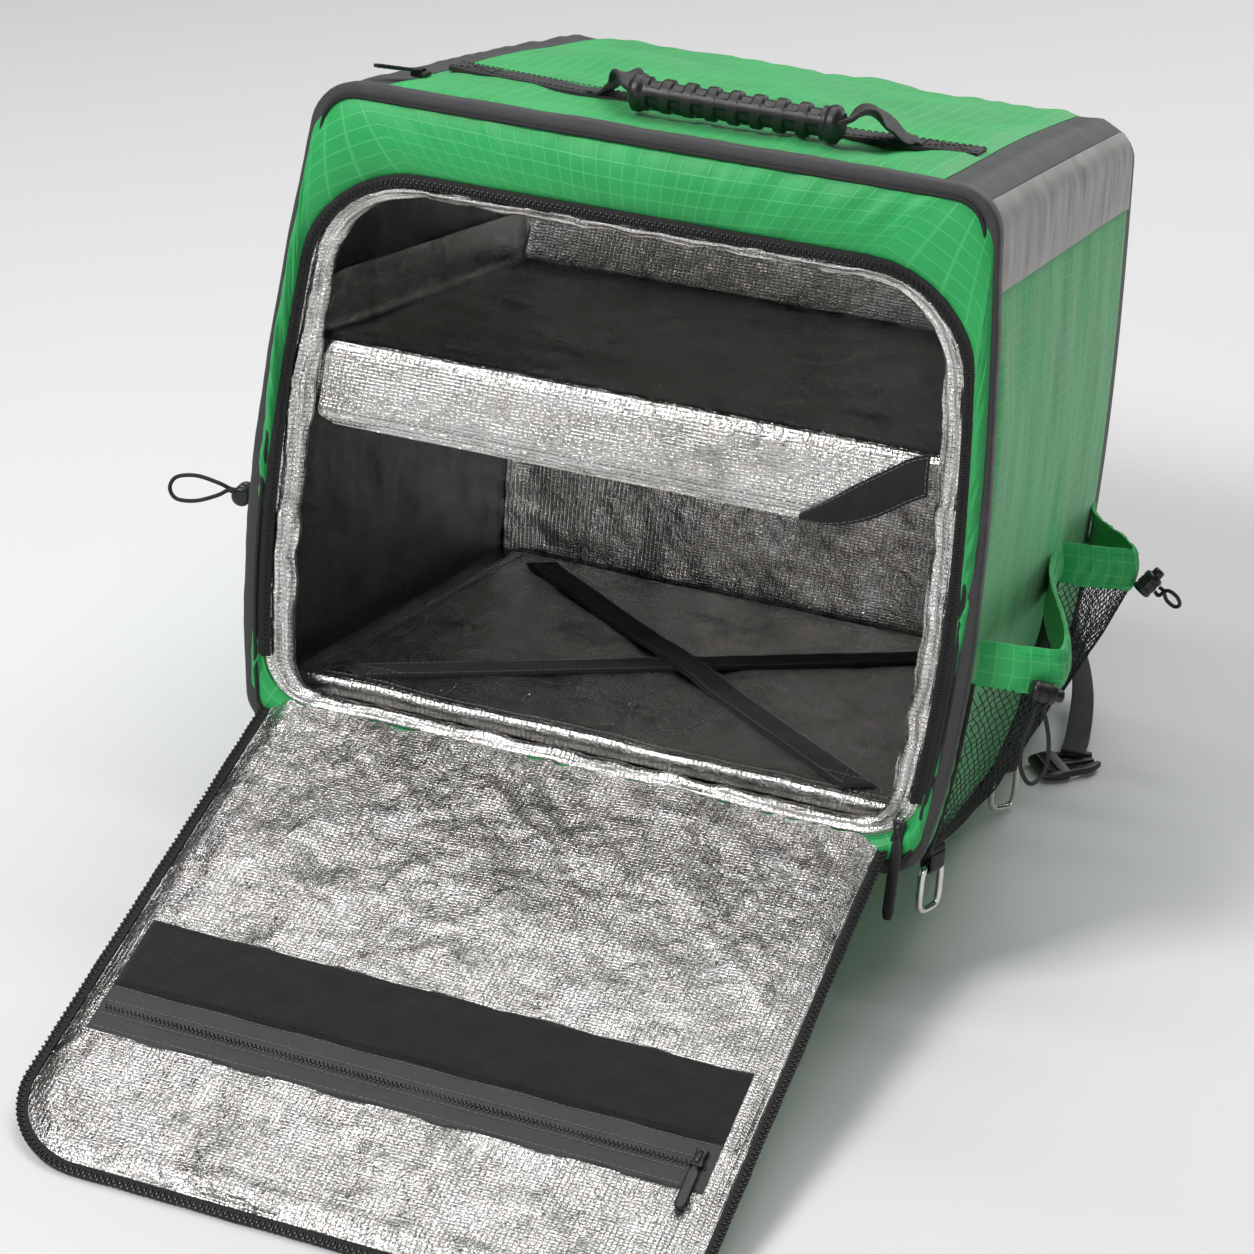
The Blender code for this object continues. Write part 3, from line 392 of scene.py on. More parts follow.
def ramp(tree, value, stops):
    made = node(tree, "ShaderNodeValToRGB", inputs={0: value})
    elements = made.color_ramp.elements
    while len(elements) < len(stops):
        elements.new(0.5)
    for element, (position, colour) in zip(elements, stops):
        element.position = position
        element.color = (*colour, 1.0)
    return made.outputs[0]


def grey(value):
    return (value, value, value)


def mixed(tree, factor, first, second):
    made = node(tree, "ShaderNodeMix", {"data_type": "RGBA", "blend_type": "MIX"})
    for key, value in ((0, factor), (6, first), (7, second)):
        if isinstance(value, bpy.types.NodeSocket):
            tree.links.new(value, made.inputs[key])
        else:
            made.inputs[key].default_value = (*value, 1.0) if isinstance(value, tuple) else value
    return made.outputs[2]


def ranged(tree, value, low, high):
    made = node(tree, "ShaderNodeMapRange", inputs={"Value": value, "To Min": low, "To Max": high})
    return made.outputs[0]


def bumps(tree, shader, layers):
    """Bump layers, each a height, a strength and a depth in metres."""
    normal = None
    for height, strength, distance in layers:
        made = node(
            tree, "ShaderNodeBump", inputs={"Height": height, "Strength": strength, "Distance": distance}
        )
        if normal is not None:
            tree.links.new(normal, made.inputs["Normal"])
        normal = made.outputs[0]
    tree.links.new(normal, shader.inputs["Normal"])


def ripstop_material():
    made, tree, shader = new_material("ripstop_green", (0.016, 0.44, 0.105), 0.52, Sheen_Weight=0.15)
    across, along = cloth_axes(tree)
    grid = math_node(
        tree, "MAXIMUM", line_mask(tree, across, 0.0098, 0.0009), line_mask(tree, along, 0.0098, 0.0009)
    )
    weave = math_node(
        tree, "ADD", line_mask(tree, across, 0.0007, 0.00035), line_mask(tree, along, 0.0007, 0.00035)
    )
    patches = noise(tree, 14.0, 4.0)
    base = ramp(tree, patches, ((0.30, (0.010, 0.350, 0.080)), (0.70, (0.020, 0.470, 0.118))))
    lined = mixed(tree, math_node(tree, "MULTIPLY", grid, 0.55), base, (0.10, 0.62, 0.20))
    speckle = mixed(
        tree, math_node(tree, "MULTIPLY", noise(tree, 900.0, 2.0), 0.20), lined, (0.008, 0.27, 0.060)
    )
    tree.links.new(speckle, shader.inputs["Base Color"])
    tree.links.new(ranged(tree, patches, 0.44, 0.62), shader.inputs["Roughness"])
    bumps(
        tree, shader, ((noise(tree, 60.0, 4.0), 0.25, 0.0012), (grid, 0.35, 0.0004), (weave, 0.18, 0.00012))
    )
    return made


def foil_material(name, shade, roughness, creases):
    """Aluminised film over a woven scrim, crumpled so that it breaks reflections into patches; its colour
    also carries painted reflection, dark and light patches from noise.
    """
    made, tree, shader = new_material(name, grey(shade), roughness, 1.0)
    across, along = cloth_axes(tree)
    scrim = math_node(
        tree, "MAXIMUM", line_mask(tree, across, 0.0031, 0.0007), line_mask(tree, along, 0.0023, 0.0006)
    )
    ridges = noise(tree, 46.0, 5.0, 0.66, "RIDGED_MULTIFRACTAL", distortion=0.8)
    crumple = noise(tree, 190.0, 3.0, 0.65, distortion=1.6)
    fine = noise(tree, 620.0, 2.0, 0.6, distortion=0.8)
    broken = math_node(tree, "MULTIPLY", scrim, ranged(tree, noise(tree, 34.0, 2.0), 0.15, 1.0))
    # Painted reflection: noise patches darken the foil's colour in places, standing for dark reflections in
    # the crumpled film.
    reflection_patches = noise(tree, 22.0, 5.0, 0.7)
    dark_reflection = (shade * 0.50, shade * 0.52, shade * 0.50)
    dim_reflection = (shade * 0.92, shade * 0.90, shade * 0.87)
    colour = ramp(tree, reflection_patches, ((0.30, dark_reflection), (0.47, dim_reflection), (0.68, grey(shade))))
    marked = mixed(tree, math_node(tree, "MULTIPLY", broken, 0.42), colour, (0.16, 0.13, 0.115))
    tree.links.new(marked, shader.inputs["Base Color"])
    tree.links.new(ranged(tree, crumple, roughness * 0.5, roughness * 1.8), shader.inputs["Roughness"])
    layers = (
        (ridges, 0.50 * creases, 0.0030),
        (crumple, 0.60 * creases, 0.0015),
        (fine, 0.40, 0.0004),
        (broken, 0.55, 0.0006),
    )
    bumps(tree, shader, layers)
    return made


def tape_material(name, colour, roughness, pitch=0.0016, sheen=0.0, depth=0.0003):
    """Woven tape with slanting ribs."""
    made, tree, shader = new_material(name, colour, roughness, Sheen_Weight=sheen)
    across, along = cloth_axes(tree)
    slant = math_node(tree, "ADD", across, math_node(tree, "MULTIPLY", along, 0.6))
    other = math_node(tree, "SUBTRACT", across, math_node(tree, "MULTIPLY", along, 0.6))
    ribs = math_node(
        tree,
        "ADD",
        line_mask(tree, slant, pitch, pitch * 0.45),
        line_mask(tree, other, pitch, pitch * 0.45),
    )
    fleck = noise(tree, 420.0, 3.0)
    lighter = tuple(min(1.0, c * 2.2 + 0.006) for c in colour)
    tinted = mixed(tree, math_node(tree, "MULTIPLY", fleck, 0.5), colour, lighter)
    tree.links.new(tinted, shader.inputs["Base Color"])
    tree.links.new(
        ranged(tree, noise(tree, 40.0, 3.0), roughness * 0.8, min(1.0, roughness * 1.15)),
        shader.inputs["Roughness"],
    )
    bumps(tree, shader, ((noise(tree, 70.0, 3.0), 0.25, 0.001), (ribs, 0.5, depth)))
    return made


def plush_material():
    """Loop tape: matt black with a short, uneven pile."""
    made, tree, shader = new_material(
        "loop_tape_black", grey(0.0045), 0.95, Sheen_Weight=0.25, Sheen_Roughness=0.5
    )
    pile = noise(tree, 1100.0, 4.0, 0.7)
    nap = noise(tree, 60.0, 4.0)
    tree.links.new(ramp(tree, nap, ((0.3, grey(0.0028)), (0.8, grey(0.0085)))), shader.inputs["Base Color"])
    bumps(tree, shader, ((nap, 0.2, 0.001), (pile, 0.8, 0.0008)))
    return made


def reflective_material():
    made, tree, shader = new_material("reflective_grey", (0.36, 0.35, 0.33), 0.42, 0.25)
    across, along = cloth_axes(tree)
    weave = math_node(
        tree, "ADD", line_mask(tree, across, 0.0009, 0.0004), line_mask(tree, along, 0.0009, 0.0004)
    )
    cloudy = noise(tree, 45.0, 4.0)
    tree.links.new(
        ramp(tree, cloudy, ((0.3, (0.33, 0.32, 0.305)), (0.7, (0.42, 0.41, 0.395)))),
        shader.inputs["Base Color"],
    )
    tree.links.new(ranged(tree, cloudy, 0.34, 0.5), shader.inputs["Roughness"])
    bumps(tree, shader, ((noise(tree, 55.0, 4.0), 0.35, 0.0015), (weave, 0.25, 0.0002)))
    return made


def moulded_material(name, colour, roughness, grain=0.25):
    made, tree, shader = new_material(name, colour, roughness)
    fine = noise(tree, 1400.0, 2.0)
    smudge = noise(tree, 80.0, 3.0)
    tree.links.new(ranged(tree, smudge, roughness * 0.8, roughness * 1.2), shader.inputs["Roughness"])
    lighter = tuple(c * 1.8 + 0.004 for c in colour)
    tree.links.new(
        mixed(tree, math_node(tree, "MULTIPLY", smudge, 0.5), colour, lighter), shader.inputs["Base Color"]
    )
    bumps(tree, shader, ((fine, grain, 0.0001),))
    return made


def steel_material():
    made, tree, shader = new_material("polished_steel", (0.70, 0.68, 0.64), 0.16, 1.0)
    scratches = noise(tree, 260.0, 4.0, 0.7)
    tree.links.new(ranged(tree, scratches, 0.10, 0.26), shader.inputs["Roughness"])
    tree.links.new(
        ramp(tree, noise(tree, 90.0, 3.0), ((0.3, (0.62, 0.60, 0.56)), (0.7, (0.78, 0.77, 0.74)))),
        shader.inputs["Base Color"],
    )
    bumps(tree, shader, ((scratches, 0.08, 0.0001),))
    return made


RIPSTOP = ripstop_material()
FOIL = foil_material("foil_bright", 0.88, 0.17, 1.0)
# A darker copy of the same foil for the flap: painted shade, so that the flap reads greyer than the jamb.
FOIL_FLAP_PAINTED_SHADE = foil_material("foil_flap_painted_shade", 0.60, 0.15, 0.9)
# A near-black copy of the same foil for the compartment's walls: painted shade.
FOIL_WALL_PAINTED_SHADE = foil_material("foil_wall_painted_shade", 0.20, 0.12, 0.7)
# A copy of the same foil set brighter for the back wall: painted light.
FOIL_BACK_PAINTED_LIGHT = foil_material("foil_back_painted_light", 0.80, 0.15, 0.9)
FOIL_SHELF = foil_material("foil_shelf", 0.80, 0.15, 0.9)
TRIM = tape_material("trim_grey", (0.030, 0.030, 0.032), 0.55, 0.0011, 0.1, 0.0002)
PIPING = tape_material("piping_black", grey(0.007), 0.6, 0.0010)
WEBBING = tape_material("webbing_black", grey(0.0060), 0.72, 0.0020, 0.15)
ZIP_TAPE = tape_material("zip_tape_black", grey(0.0075), 0.7, 0.0009)
NET = tape_material("net_black", grey(0.0080), 0.55, 0.0007)
BACK_MESH = tape_material("back_padding_black", grey(0.011), 0.85, 0.0034, 0.1, 0.0008)
PLUSH = plush_material()
REFLECTIVE = reflective_material()
PLASTIC = moulded_material("plastic_black", grey(0.0075), 0.36)
RUBBER = moulded_material("grip_rubber_black", grey(0.0095), 0.42, 0.4)
TEETH = moulded_material("zip_teeth_black", grey(0.0080), 0.34, 0.1)
THREAD_BLACK = moulded_material("thread_black", grey(0.010), 0.7)
THREAD_GREEN = moulded_material("thread_green", (0.012, 0.30, 0.075), 0.7)
THREAD_GREY = moulded_material("thread_grey", grey(0.16), 0.7)
CORD_BLACK = tape_material("cord_black", grey(0.0065), 0.6, 0.0012)
STEEL = steel_material()


# Outlines, as in the part's source but finer

ARC_STEPS = 8
X_SHARES = (0.0, 0.01, 0.02, 0.03, *np.linspace(0.045, 0.955, 74), 0.97, 0.98, 0.99, 1.0)
Z_SHARES = tuple(np.linspace(0.0, 1.0, 77))


def corner_arc(centre, radius, start):
    rows = []
    for step in range(ARC_STEPS + 1):
        angle = start + math.pi / 2 * step / ARC_STEPS
        direction = (math.cos(angle), math.sin(angle))
        rows.append((centre[0] + radius * direction[0], centre[1] + radius * direction[1], *direction))
    return rows


def outline(half, low, high, low_radius, high_radius):
    """A rounded outline, anticlockwise from the left end of its bottom side: x, z, outward direction."""
    arcs = [
        corner_arc((half - low_radius, low + low_radius), low_radius, -math.pi / 2),
        corner_arc((half - high_radius, high - high_radius), high_radius, 0.0),
        corner_arc((-half + high_radius, high - high_radius), high_radius, math.pi / 2),
        corner_arc((-half + low_radius, low + low_radius), low_radius, math.pi),
    ]
    rows = []
    sides = (X_SHARES, Z_SHARES, X_SHARES, tuple(1 - share for share in reversed(Z_SHARES)))
    for side, shares in enumerate(sides):
        start = np.array(arcs[side - 1][-1])
        end = np.array(arcs[side][0])
        for share in shares[:-1]:
            rows.append(start + (end - start) * share)
        rows.extend(np.array(row) for row in arcs[side][:-1])
    return np.array(rows)


BOTTOM_RIGHT = len(X_SHARES) - 1
RIGHT_LOW = BOTTOM_RIGHT + ARC_STEPS
RIGHT_HIGH = RIGHT_LOW + len(Z_SHARES) - 1
TOP_RIGHT = RIGHT_HIGH + ARC_STEPS
TOP_LEFT = TOP_RIGHT + len(X_SHARES) - 1
LEFT_HIGH = TOP_LEFT + ARC_STEPS
LEFT_LOW = LEFT_HIGH + len(Z_SHARES) - 1
OUTLINE_ROWS = LEFT_LOW + ARC_STEPS
HALF_ARC = ARC_STEPS // 2
COVER_ROWS = 3
BOX_OUTLINE = outline(HALF, 0.0, HEIGHT, LOW_RADIUS, HIGH_RADIUS)
OPENING = outline(0.2095, 0.0195, 0.383, 0.030, 0.065)


def lengths_along(points):
    steps = np.linalg.norm(np.diff(np.asarray(points, float), axis=0), axis=1)
    return np.concatenate([[0.0], np.cumsum(steps)])


def seam_pucker(distance, along, pitch, seed, reach=0.016):
    """Little gathers that run away from a seam and fade out."""
    wave = np.sin(along * math.tau / pitch + 2.5 * soft_noise(along, distance * 0.2, pitch * 4, seed, 2))
    patchy = 0.55 + 0.45 * soft_noise(along, distance * 0.1, pitch * 7, seed + 7, 2)
    return wave * patchy * np.exp(-distance / reach)


def outward_of(outer, inner):
    """The outer grid's normals, turned away from the inner grid."""
    normal = normals_of(outer)
    flip = np.sign(((outer - inner) * normal).sum(axis=-1).mean())
    return normal * flip


def wall_piece(name, first, last, front, rear, thickness, material, relief, columns=84, inset=0.0):
    """A length of the box's wall whose outer face is raised by relief(along, y, length)."""
    index = [i % OUTLINE_ROWS for i in range(first, last + 1)]
    rows = BOX_OUTLINE[index]
    ys = np.linspace(front, rear, columns)
    skins = []
    for depth in (inset, inset + thickness):
        x = rows[:, 0] - rows[:, 2] * depth
        z = rows[:, 1] - rows[:, 3] * depth
        for end, step in ((0, 1), (-1, -2)):
            x[end] += (x[step] - x[end]) * 0.06
            z[end] += (z[step] - z[end]) * 0.06
        flat = np.broadcast_arrays(x[:, None], ys[None, :], z[:, None])
        skins.append(shaped(np.stack(flat, axis=-1)))
    outer, inner = skins
    along = lengths_along(outer[:, 0])
    u, v = np.meshgrid(along, ys, indexing="ij")
    edge = smoothstep(0.0, 0.010, u) * smoothstep(0.0, 0.010, along[-1] - u)
    edge = edge * smoothstep(0.0, 0.008, v - front) * smoothstep(0.0, 0.010, rear - v)
    raised = relief(u, v, along[-1]) * (0.15 + 0.85 * edge)
    outer = outer + outward_of(outer, inner) * raised[..., None]
    return slab(name, outer, inner, np.stack([u, v], axis=-1), material)


# The shell

FRONT = WALL + GAP
REAR = DEPTH - BACK_WALL - GAP
REFLECTIVE_FRONT = 0.0113
REFLECTIVE_ROWS = 7
REFLECTIVE_THICKNESS = 0.0008
REFLECTIVE_INSET = -0.0014


def side_relief(seed, high_end):
    """Folds of a side, calm under the reflective band. The band lies at the high or the low end of u."""

    def relief(u, v, length):
        from_top = length - u if high_end else u
        folds = 0.0016 * soft_noise(u * 0.35, v, 0.10, seed, 3)
        crumple = 0.0007 * crease_noise(u * 0.7, v, 0.07, seed + 1, 7)
        top = 0.0010 * seam_pucker(np.abs(from_top - 0.056), v, 0.013, seed + 2, 0.020)
        front = 0.0012 * seam_pucker(v - FRONT, u, 0.017, seed + 3, 0.016)
        free = smoothstep(0.054, 0.064, from_top)
        return (0.0012 + folds + crumple + top + front) * free

    return relief


def top_relief(u, v, length):
    folds = 0.0024 * soft_noise(u, v * 0.6, 0.12, 31, 3)
    crumple = 0.0010 * crease_noise(u * 0.6, v, 0.08, 32, 8)
    front = 0.0020 * seam_pucker(v - FRONT, u, 0.021, 33, 0.028)
    back = 0.0014 * seam_pucker(REAR - v, u, 0.024, 34, 0.020)
    sides = 0.0010 * (seam_pucker(u, v, 0.016, 35, 0.014) + seam_pucker(length - u, v, 0.016, 36, 0.014))
    return 0.0020 + folds + crumple + front + back + sides


def band_relief(u, v, length):
    gather = 0.0010 * soft_noise(u * 0.25, v, 0.028, 41, 3)
    edges = 0.0006 * (seam_pucker(u, v, 0.007, 42, 0.006) + seam_pucker(length - u, v, 0.007, 43, 0.006))
    return 0.0006 + gather + edges


def cover_relief(u, v, length):
    """Raised along its middle, where the zip's teeth lie under the tape."""
    middle = np.exp(-(((u - length * 0.52) / 0.0035) ** 2))
    return 0.0004 + 0.0014 * middle + 0.0006 * soft_noise(u * 0.3, v, 0.05, 45, 2)


def base_relief(u, v, length):
    return 0.0004 * soft_noise(u, v, 0.09, 47, 2)


def build_shell():
    walls = (
        ("base", -HALF_ARC, BOTTOM_RIGHT + HALF_ARC, BASE_WALL, base_relief),
        ("right_side", BOTTOM_RIGHT + HALF_ARC, RIGHT_HIGH + HALF_ARC, WALL, side_relief(11, True)),
        ("left_side", TOP_LEFT + HALF_ARC, LEFT_LOW + HALF_ARC, WALL, side_relief(21, False)),
        ("top", TOP_RIGHT + COVER_ROWS, TOP_LEFT - COVER_ROWS, WALL, top_relief),
    )
    for name, first, last, thickness, relief in walls:
        wall = wall_piece(f"{name}_cloth", first, last, FRONT, REAR, thickness, RIPSTOP, relief)
        ride(wall, "ripstop", f"{name}_panel")
    for name, first, last in (
        ("right_zip", RIGHT_HIGH + HALF_ARC, TOP_RIGHT + COVER_ROWS),
        ("left_zip", TOP_LEFT - COVER_ROWS, TOP_LEFT + HALF_ARC),
    ):
        cover = wall_piece(f"{name}_tape", first, last, FRONT, REAR, WALL, TRIM, cover_relief)
        ride(cover, "trim", f"{name}_cover")
    for name, first, last in (
        ("right_reflective", RIGHT_HIGH - REFLECTIVE_ROWS, RIGHT_HIGH + HALF_ARC),
        ("left_reflective", TOP_LEFT + HALF_ARC, LEFT_HIGH + REFLECTIVE_ROWS),
    ):
        band = wall_piece(
            f"{name}_strip",
            first,
            last,
            REFLECTIVE_FRONT,
            REAR,
            REFLECTIVE_THICKNESS,
            REFLECTIVE,
            band_relief,
            150,
            REFLECTIVE_INSET,
        )
        ride(band, "reflective", f"{name}_band")


def build_front_cloth():
    """The padded green border round the opening, puckered along both seams."""
    columns = 30
    shares = np.linspace(0.0, 1.0, columns)
    outer_rows = BOX_OUTLINE[:, None, :2]
    inner_rows = OPENING[:, None, :2]
    flat = outer_rows + (inner_rows - outer_rows) * shares[None, :, None]
    grid = np.stack([flat[..., 0], np.zeros(flat.shape[:2]), flat[..., 1]], axis=-1)
    width = np.linalg.norm(OPENING[:, :2] - BOX_OUTLINE[:, :2], axis=1)[:, None]
    along = lengths_along(BOX_OUTLINE[:, :2])[:, None] * np.ones((1, columns))
    across = width * shares[None, :]
    free = np.clip((across - 0.0066) / np.maximum(width - 0.0096, 0.0005), 0.0, 1.0) * (across > 0.0066)
    swell = np.sin(math.pi * free) ** 0.6
    dome = swell * np.minimum(width / 0.052, 1.0) * 0.0078
    pucker = (
        0.0024 * seam_pucker(across, along, 0.026, 51, 0.030)
        + 0.0016 * seam_pucker(width - across, along, 0.019, 52, 0.018)
    )
    fold = 0.0018 * soft_noise(along, across * 0.5, 0.06, 53, 3)
    raised = dome + (pucker + fold) * np.minimum(width / 0.03, 1.0) * swell
    back = grid.copy()
    grid[..., 1] = -np.maximum(raised, 0.0)
    back[..., 1] = WALL
    uv = (along, across)
    sheet("front_cloth", shaped(grid), shaped(back), uv, RIPSTOP, "ripstop", "front_panel", wrap=True)


def ring_points(rows, y, grow=0.0):
    x = rows[:, 0] + rows[:, 2] * grow
    z = rows[:, 1] + rows[:, 3] * grow
    return shaped(np.stack([x, np.full(len(rows), y), z], axis=-1))


def build_edge_trim():
    """Dark tape folded over the front edge, with black piping along its front."""
    section = (
        (-0.0065, -0.0013), (-0.0062, -0.0018), (-0.0030, -0.0021), (0.0004, -0.0020), (0.0017, -0.0012),
        (0.0022, 0.0010), (0.0021, 0.0060), (0.0018, 0.0105), (0.0012, 0.0112), (0.0004, 0.0110),
        (0.0003, -0.0003), (-0.0062, -0.0003),
    )
    along = lengths_along(BOX_OUTLINE[:, :2])
    wobble = 0.0004 * soft_noise(along, along * 0, 0.05, 61, 3)
    rings = []
    for grow, y in section:
        out = grow > 0.0005
        rows = BOX_OUTLINE.copy()
        rows[:, :2] += rows[:, 2:] * (wobble * out)[:, None]
        rings.append(ring_points(rows, y, grow))
    around = lengths_along(np.array(section))
    uv = np.stack(np.meshgrid(around, along, indexing="ij"), axis=-1)
    ride(loft("edge_tape", rings, TRIM, wrap=True, uvs=uv), "trim", "edge_trim")
    piping = ring_points(BOX_OUTLINE, -0.0032, -0.0068)
    closed = np.concatenate([piping, piping[:1]])
    ride(tubes("front_piping", [closed], 0.0014, PIPING, 8), "trim")


def build_back():
    """The back: padded, quilted in broad panels, with a rounded border."""
    shares = (1.0, 1.0, 0.992, 0.975, *np.linspace(0.95, 0.03, 40))
    centre = np.array([0.0, HEIGHT / 2])
    rings = []
    uvs = []
    for i, share in enumerate(shares):
        rows = centre + (BOX_OUTLINE[:, :2] - centre) * share
        y = (DEPTH - BACK_WALL, DEPTH - 0.003, DEPTH - 0.0008, DEPTH)[min(i, 3)]
        ring = np.stack([rows[:, 0], np.full(len(rows), y), rows[:, 1]], axis=-1)
        if i > 3:
            x, z = rows[:, 0], rows[:, 1]
            columns = np.abs(np.sin(math.pi * (x / 0.145 + 0.5))) ** 0.45
            bars = np.abs(np.sin(math.pi * (z - 0.02) / 0.198)) ** 0.45
            inside = smoothstep(0.97, 0.90, share)
            quilt = 0.0045 * columns * bars + 0.0008 * soft_noise(x, z, 0.05, 71, 2) - 0.0010
            ring[:, 1] += inside * quilt
        rings.append(shaped(ring))
        uvs.append(rows)
    ride(loft("back_cloth", rings, BACK_MESH, uvs=np.array(uvs)), "ripstop", "back_panel")


# Foil

LINING_HALF = 0.2115
LINING_LOW = 0.0185
LINING_HIGH = 0.4265
BACK_SEAMS = (0.140, 0.330)


def foil_relief(u, v, amount, seed, scale=0.045):
    broad = crease_noise(u, v, scale, seed, 9)
    small = crease_noise(u, v, scale * 0.36, seed + 3, 8)
    soft = soft_noise(u, v, scale * 2.5, seed + 5, 2)
    return amount * (0.55 * broad + 0.25 * small + 0.35 * soft)


def build_lining():
    """The foil walls and back, crumpled a little into the compartment."""
    rows = outline(LINING_HALF, LINING_LOW, LINING_HIGH, 0.012, 0.017)[::2]
    ys = np.linspace(WALL + 2 * GAP, REAR - 0.0015, 90)
    skins = []
    for grow in (-0.0015, 0.0):
        skins.append(np.stack([ring_points(rows, y, grow) for y in ys], axis=1))
    inner, outer = skins
    along = lengths_along(rows[:, :2])
    u, v = np.meshgrid(along, ys, indexing="ij")
    normal = -outward_of(outer, inner)
    relief = 0.0007 + foil_relief(u, v, 0.0016, 81)
    relief *= smoothstep(0.0, 0.01, v - ys[0]) * (rows[:, 1] > 0.045)[:, None]
    inner = inner + normal * np.maximum(relief, 0.0)[..., None]
    # The walls carry the near-black foil copy: painted shade.
    sheet("lining_walls", inner, outer, (u, v), FOIL_WALL_PAINTED_SHADE, "foil", "foil_lining", wrap=True)
    xs = np.linspace(-LINING_HALF + 0.003, LINING_HALF - 0.003, 110)
    zs = np.linspace(LINING_LOW + 0.0035, LINING_HIGH - 0.003, 105)
    x, z = np.meshgrid(xs, zs, indexing="ij")
    seams = 0.0
    for height in BACK_SEAMS:
        seams = seams + np.exp(-(((z - height) / 0.004) ** 2))
    relief = 0.0022 + foil_relief(x, z, 0.0022, 85) - 0.0018 * np.minimum(seams, 1.0)
    face = np.stack([x, REAR - 0.0016 - np.maximum(relief, 0.0002), z], axis=-1)
    rear = np.stack([x, np.full(x.shape, REAR - 0.0002), z], axis=-1)
    # The back carries the brightened foil copy: painted light.
    sheet("lining_back", shaped(face), shaped(rear), (x, z), FOIL_BACK_PAINTED_LIGHT, "foil")


def build_jamb():
    """The crumpled foil border that faces forward round the opening."""
    outside = outline(0.2092, 0.0198, 0.3827, 0.030, 0.065)
    inside = outline(0.191, 0.0285, 0.370, 0.018, 0.050)
    columns = 18
    shares = np.linspace(0.0, 1.0, columns)
    along = lengths_along(outside[:, :2])[:, None] * np.ones((1, columns))
    width = np.linalg.norm(inside[:, :2] - outside[:, :2], axis=1)[:, None]
    across = width * shares[None, :]
    flat = outside[:, None, :2] + (inside[:, None, :2] - outside[:, None, :2]) * shares[None, :, None]
    bead = np.sin(math.pi * shares)[None, :] ** 0.6
    relief = foil_relief(along, across * 1.5, 0.0013, 91, 0.020)
    relief = relief + 0.0007 * seam_pucker(across, along, 0.011, 92, 0.02)
    turns = across * math.tau / 0.0068 + 2.2 * soft_noise(along, across, 0.11, 94, 3)
    relief = relief + 0.0011 * np.sin(turns)
    y = 0.0010 + 0.0040 * shares[None, :] ** 2 - (0.0016 + relief) * bead
    waver = 0.0012 * soft_noise(along[:, -1:], across[:, -1:] * 0, 0.03, 93, 3) * shares[None, :] ** 2
    flat = flat + inside[:, None, 2:] * waver[..., None]
    face = np.stack([flat[..., 0], y, flat[..., 1]], axis=-1)
    back = face.copy()
    back[..., 1] = 0.0045 + 0.0040 * shares[None, :]
    sheet("jamb_foil", shaped(face), shaped(back), (along, across), FOIL, "foil", "foil_jamb", wrap=True)


def teeth(name, path, facing, pitch=0.0018, width=0.0042, height=0.0011):
    """A row of closed zip teeth along a path, each a small rounded block set crosswise."""
    path = resampled(path, pitch)
    facing = np.broadcast_to(np.asarray(facing, float), path.shape) if np.ndim(facing) == 1 else facing
    tangent = unit(np.gradient(path, axis=0))
    side = unit(np.cross(tangent, facing))
    up = np.cross(side, tangent)
    points = []
    faces = []
    corners = ((-1, -1), (1, -1), (1, 1), (-1, 1))
    for i, centre in enumerate(path):
        shift = (0.22 if i % 2 else -0.22) * width
        base = len(points)
        for level, shrink in ((0.0, 1.0), (0.75, 0.95), (1.0, 0.6)):
            for a, b in corners:
                across = side[i] * (a * width * 0.36 * shrink + shift)
                forward = tangent[i] * (b * pitch * 0.30 * shrink)
                points.append(centre + across + forward + up[i] * level * height)
        faces.append((base + 3, base + 2, base + 1, base))
        for level in range(2):
            low = base + level * 4
            for k in range(4):
                n = (k + 1) % 4
                faces.append((low + k, low + n, low + 4 + n, low + 4 + k))
        faces.append((base + 8, base + 9, base + 10, base + 11))
    points = np.array(points)
    return make_object(name, points, faces, points[:, [0, 2]], TEETH)


def build_opening_zip():
    rows = OPENING[RIGHT_LOW : LEFT_LOW + 1]
    columns = 8
    grows = np.linspace(0.0025, -0.0055, columns)
    along = lengths_along(rows[:, :2])
    face = []
    back = []
    for i, grow in enumerate(grows):
        rise = 0.0024 + 0.0004 * math.sin(math.pi * i / (columns - 1))
        face.append(ring_points(rows, -rise, grow))
        back.append(ring_points(rows, -0.0003, grow))
    face = np.stack(face, axis=1)
    back = np.stack(back, axis=1)
    u, v = np.meshgrid(along, grows, indexing="ij")
    sheet("opening_zip_tape", face, back, (v, u), ZIP_TAPE, "webbing", "opening_zip")
    path = ring_points(rows, -0.0026, -0.0026)
    ride(teeth("opening_zip_teeth", path, (0.0, -1.0, 0.0)), "webbing")


# The flap

FLAP_HALF = 0.2115
FLAP_CENTRE = -0.005
FLAP_LENGTH = 0.388
FLAP_THICKNESS = 0.009
FLAP_CORNER = 0.055
FLAP_ANGLE = math.radians(27.2)
HINGE_HEIGHT = 0.0215
HINGE_Y = -0.0004
LOOP_BAND = (0.206, 0.261)
POCKET_ZIP = (0.2615, 0.297)
POCKET_COIL = 0.2795
BAND_HALF = 0.198
FLAP_HEM = 0.020


def flap_point(x, s, n):
    """Points of the open flap: x across, s from the hinge, n above its foil face."""
    x, s, n = np.broadcast_arrays(np.asarray(x, float), s, n)
    y = HINGE_Y - s * math.cos(FLAP_ANGLE) - n * math.sin(FLAP_ANGLE)
    z = HINGE_HEIGHT - s * math.sin(FLAP_ANGLE) + n * math.cos(FLAP_ANGLE)
    return np.stack([FLAP_CENTRE + x, y, z], axis=-1)


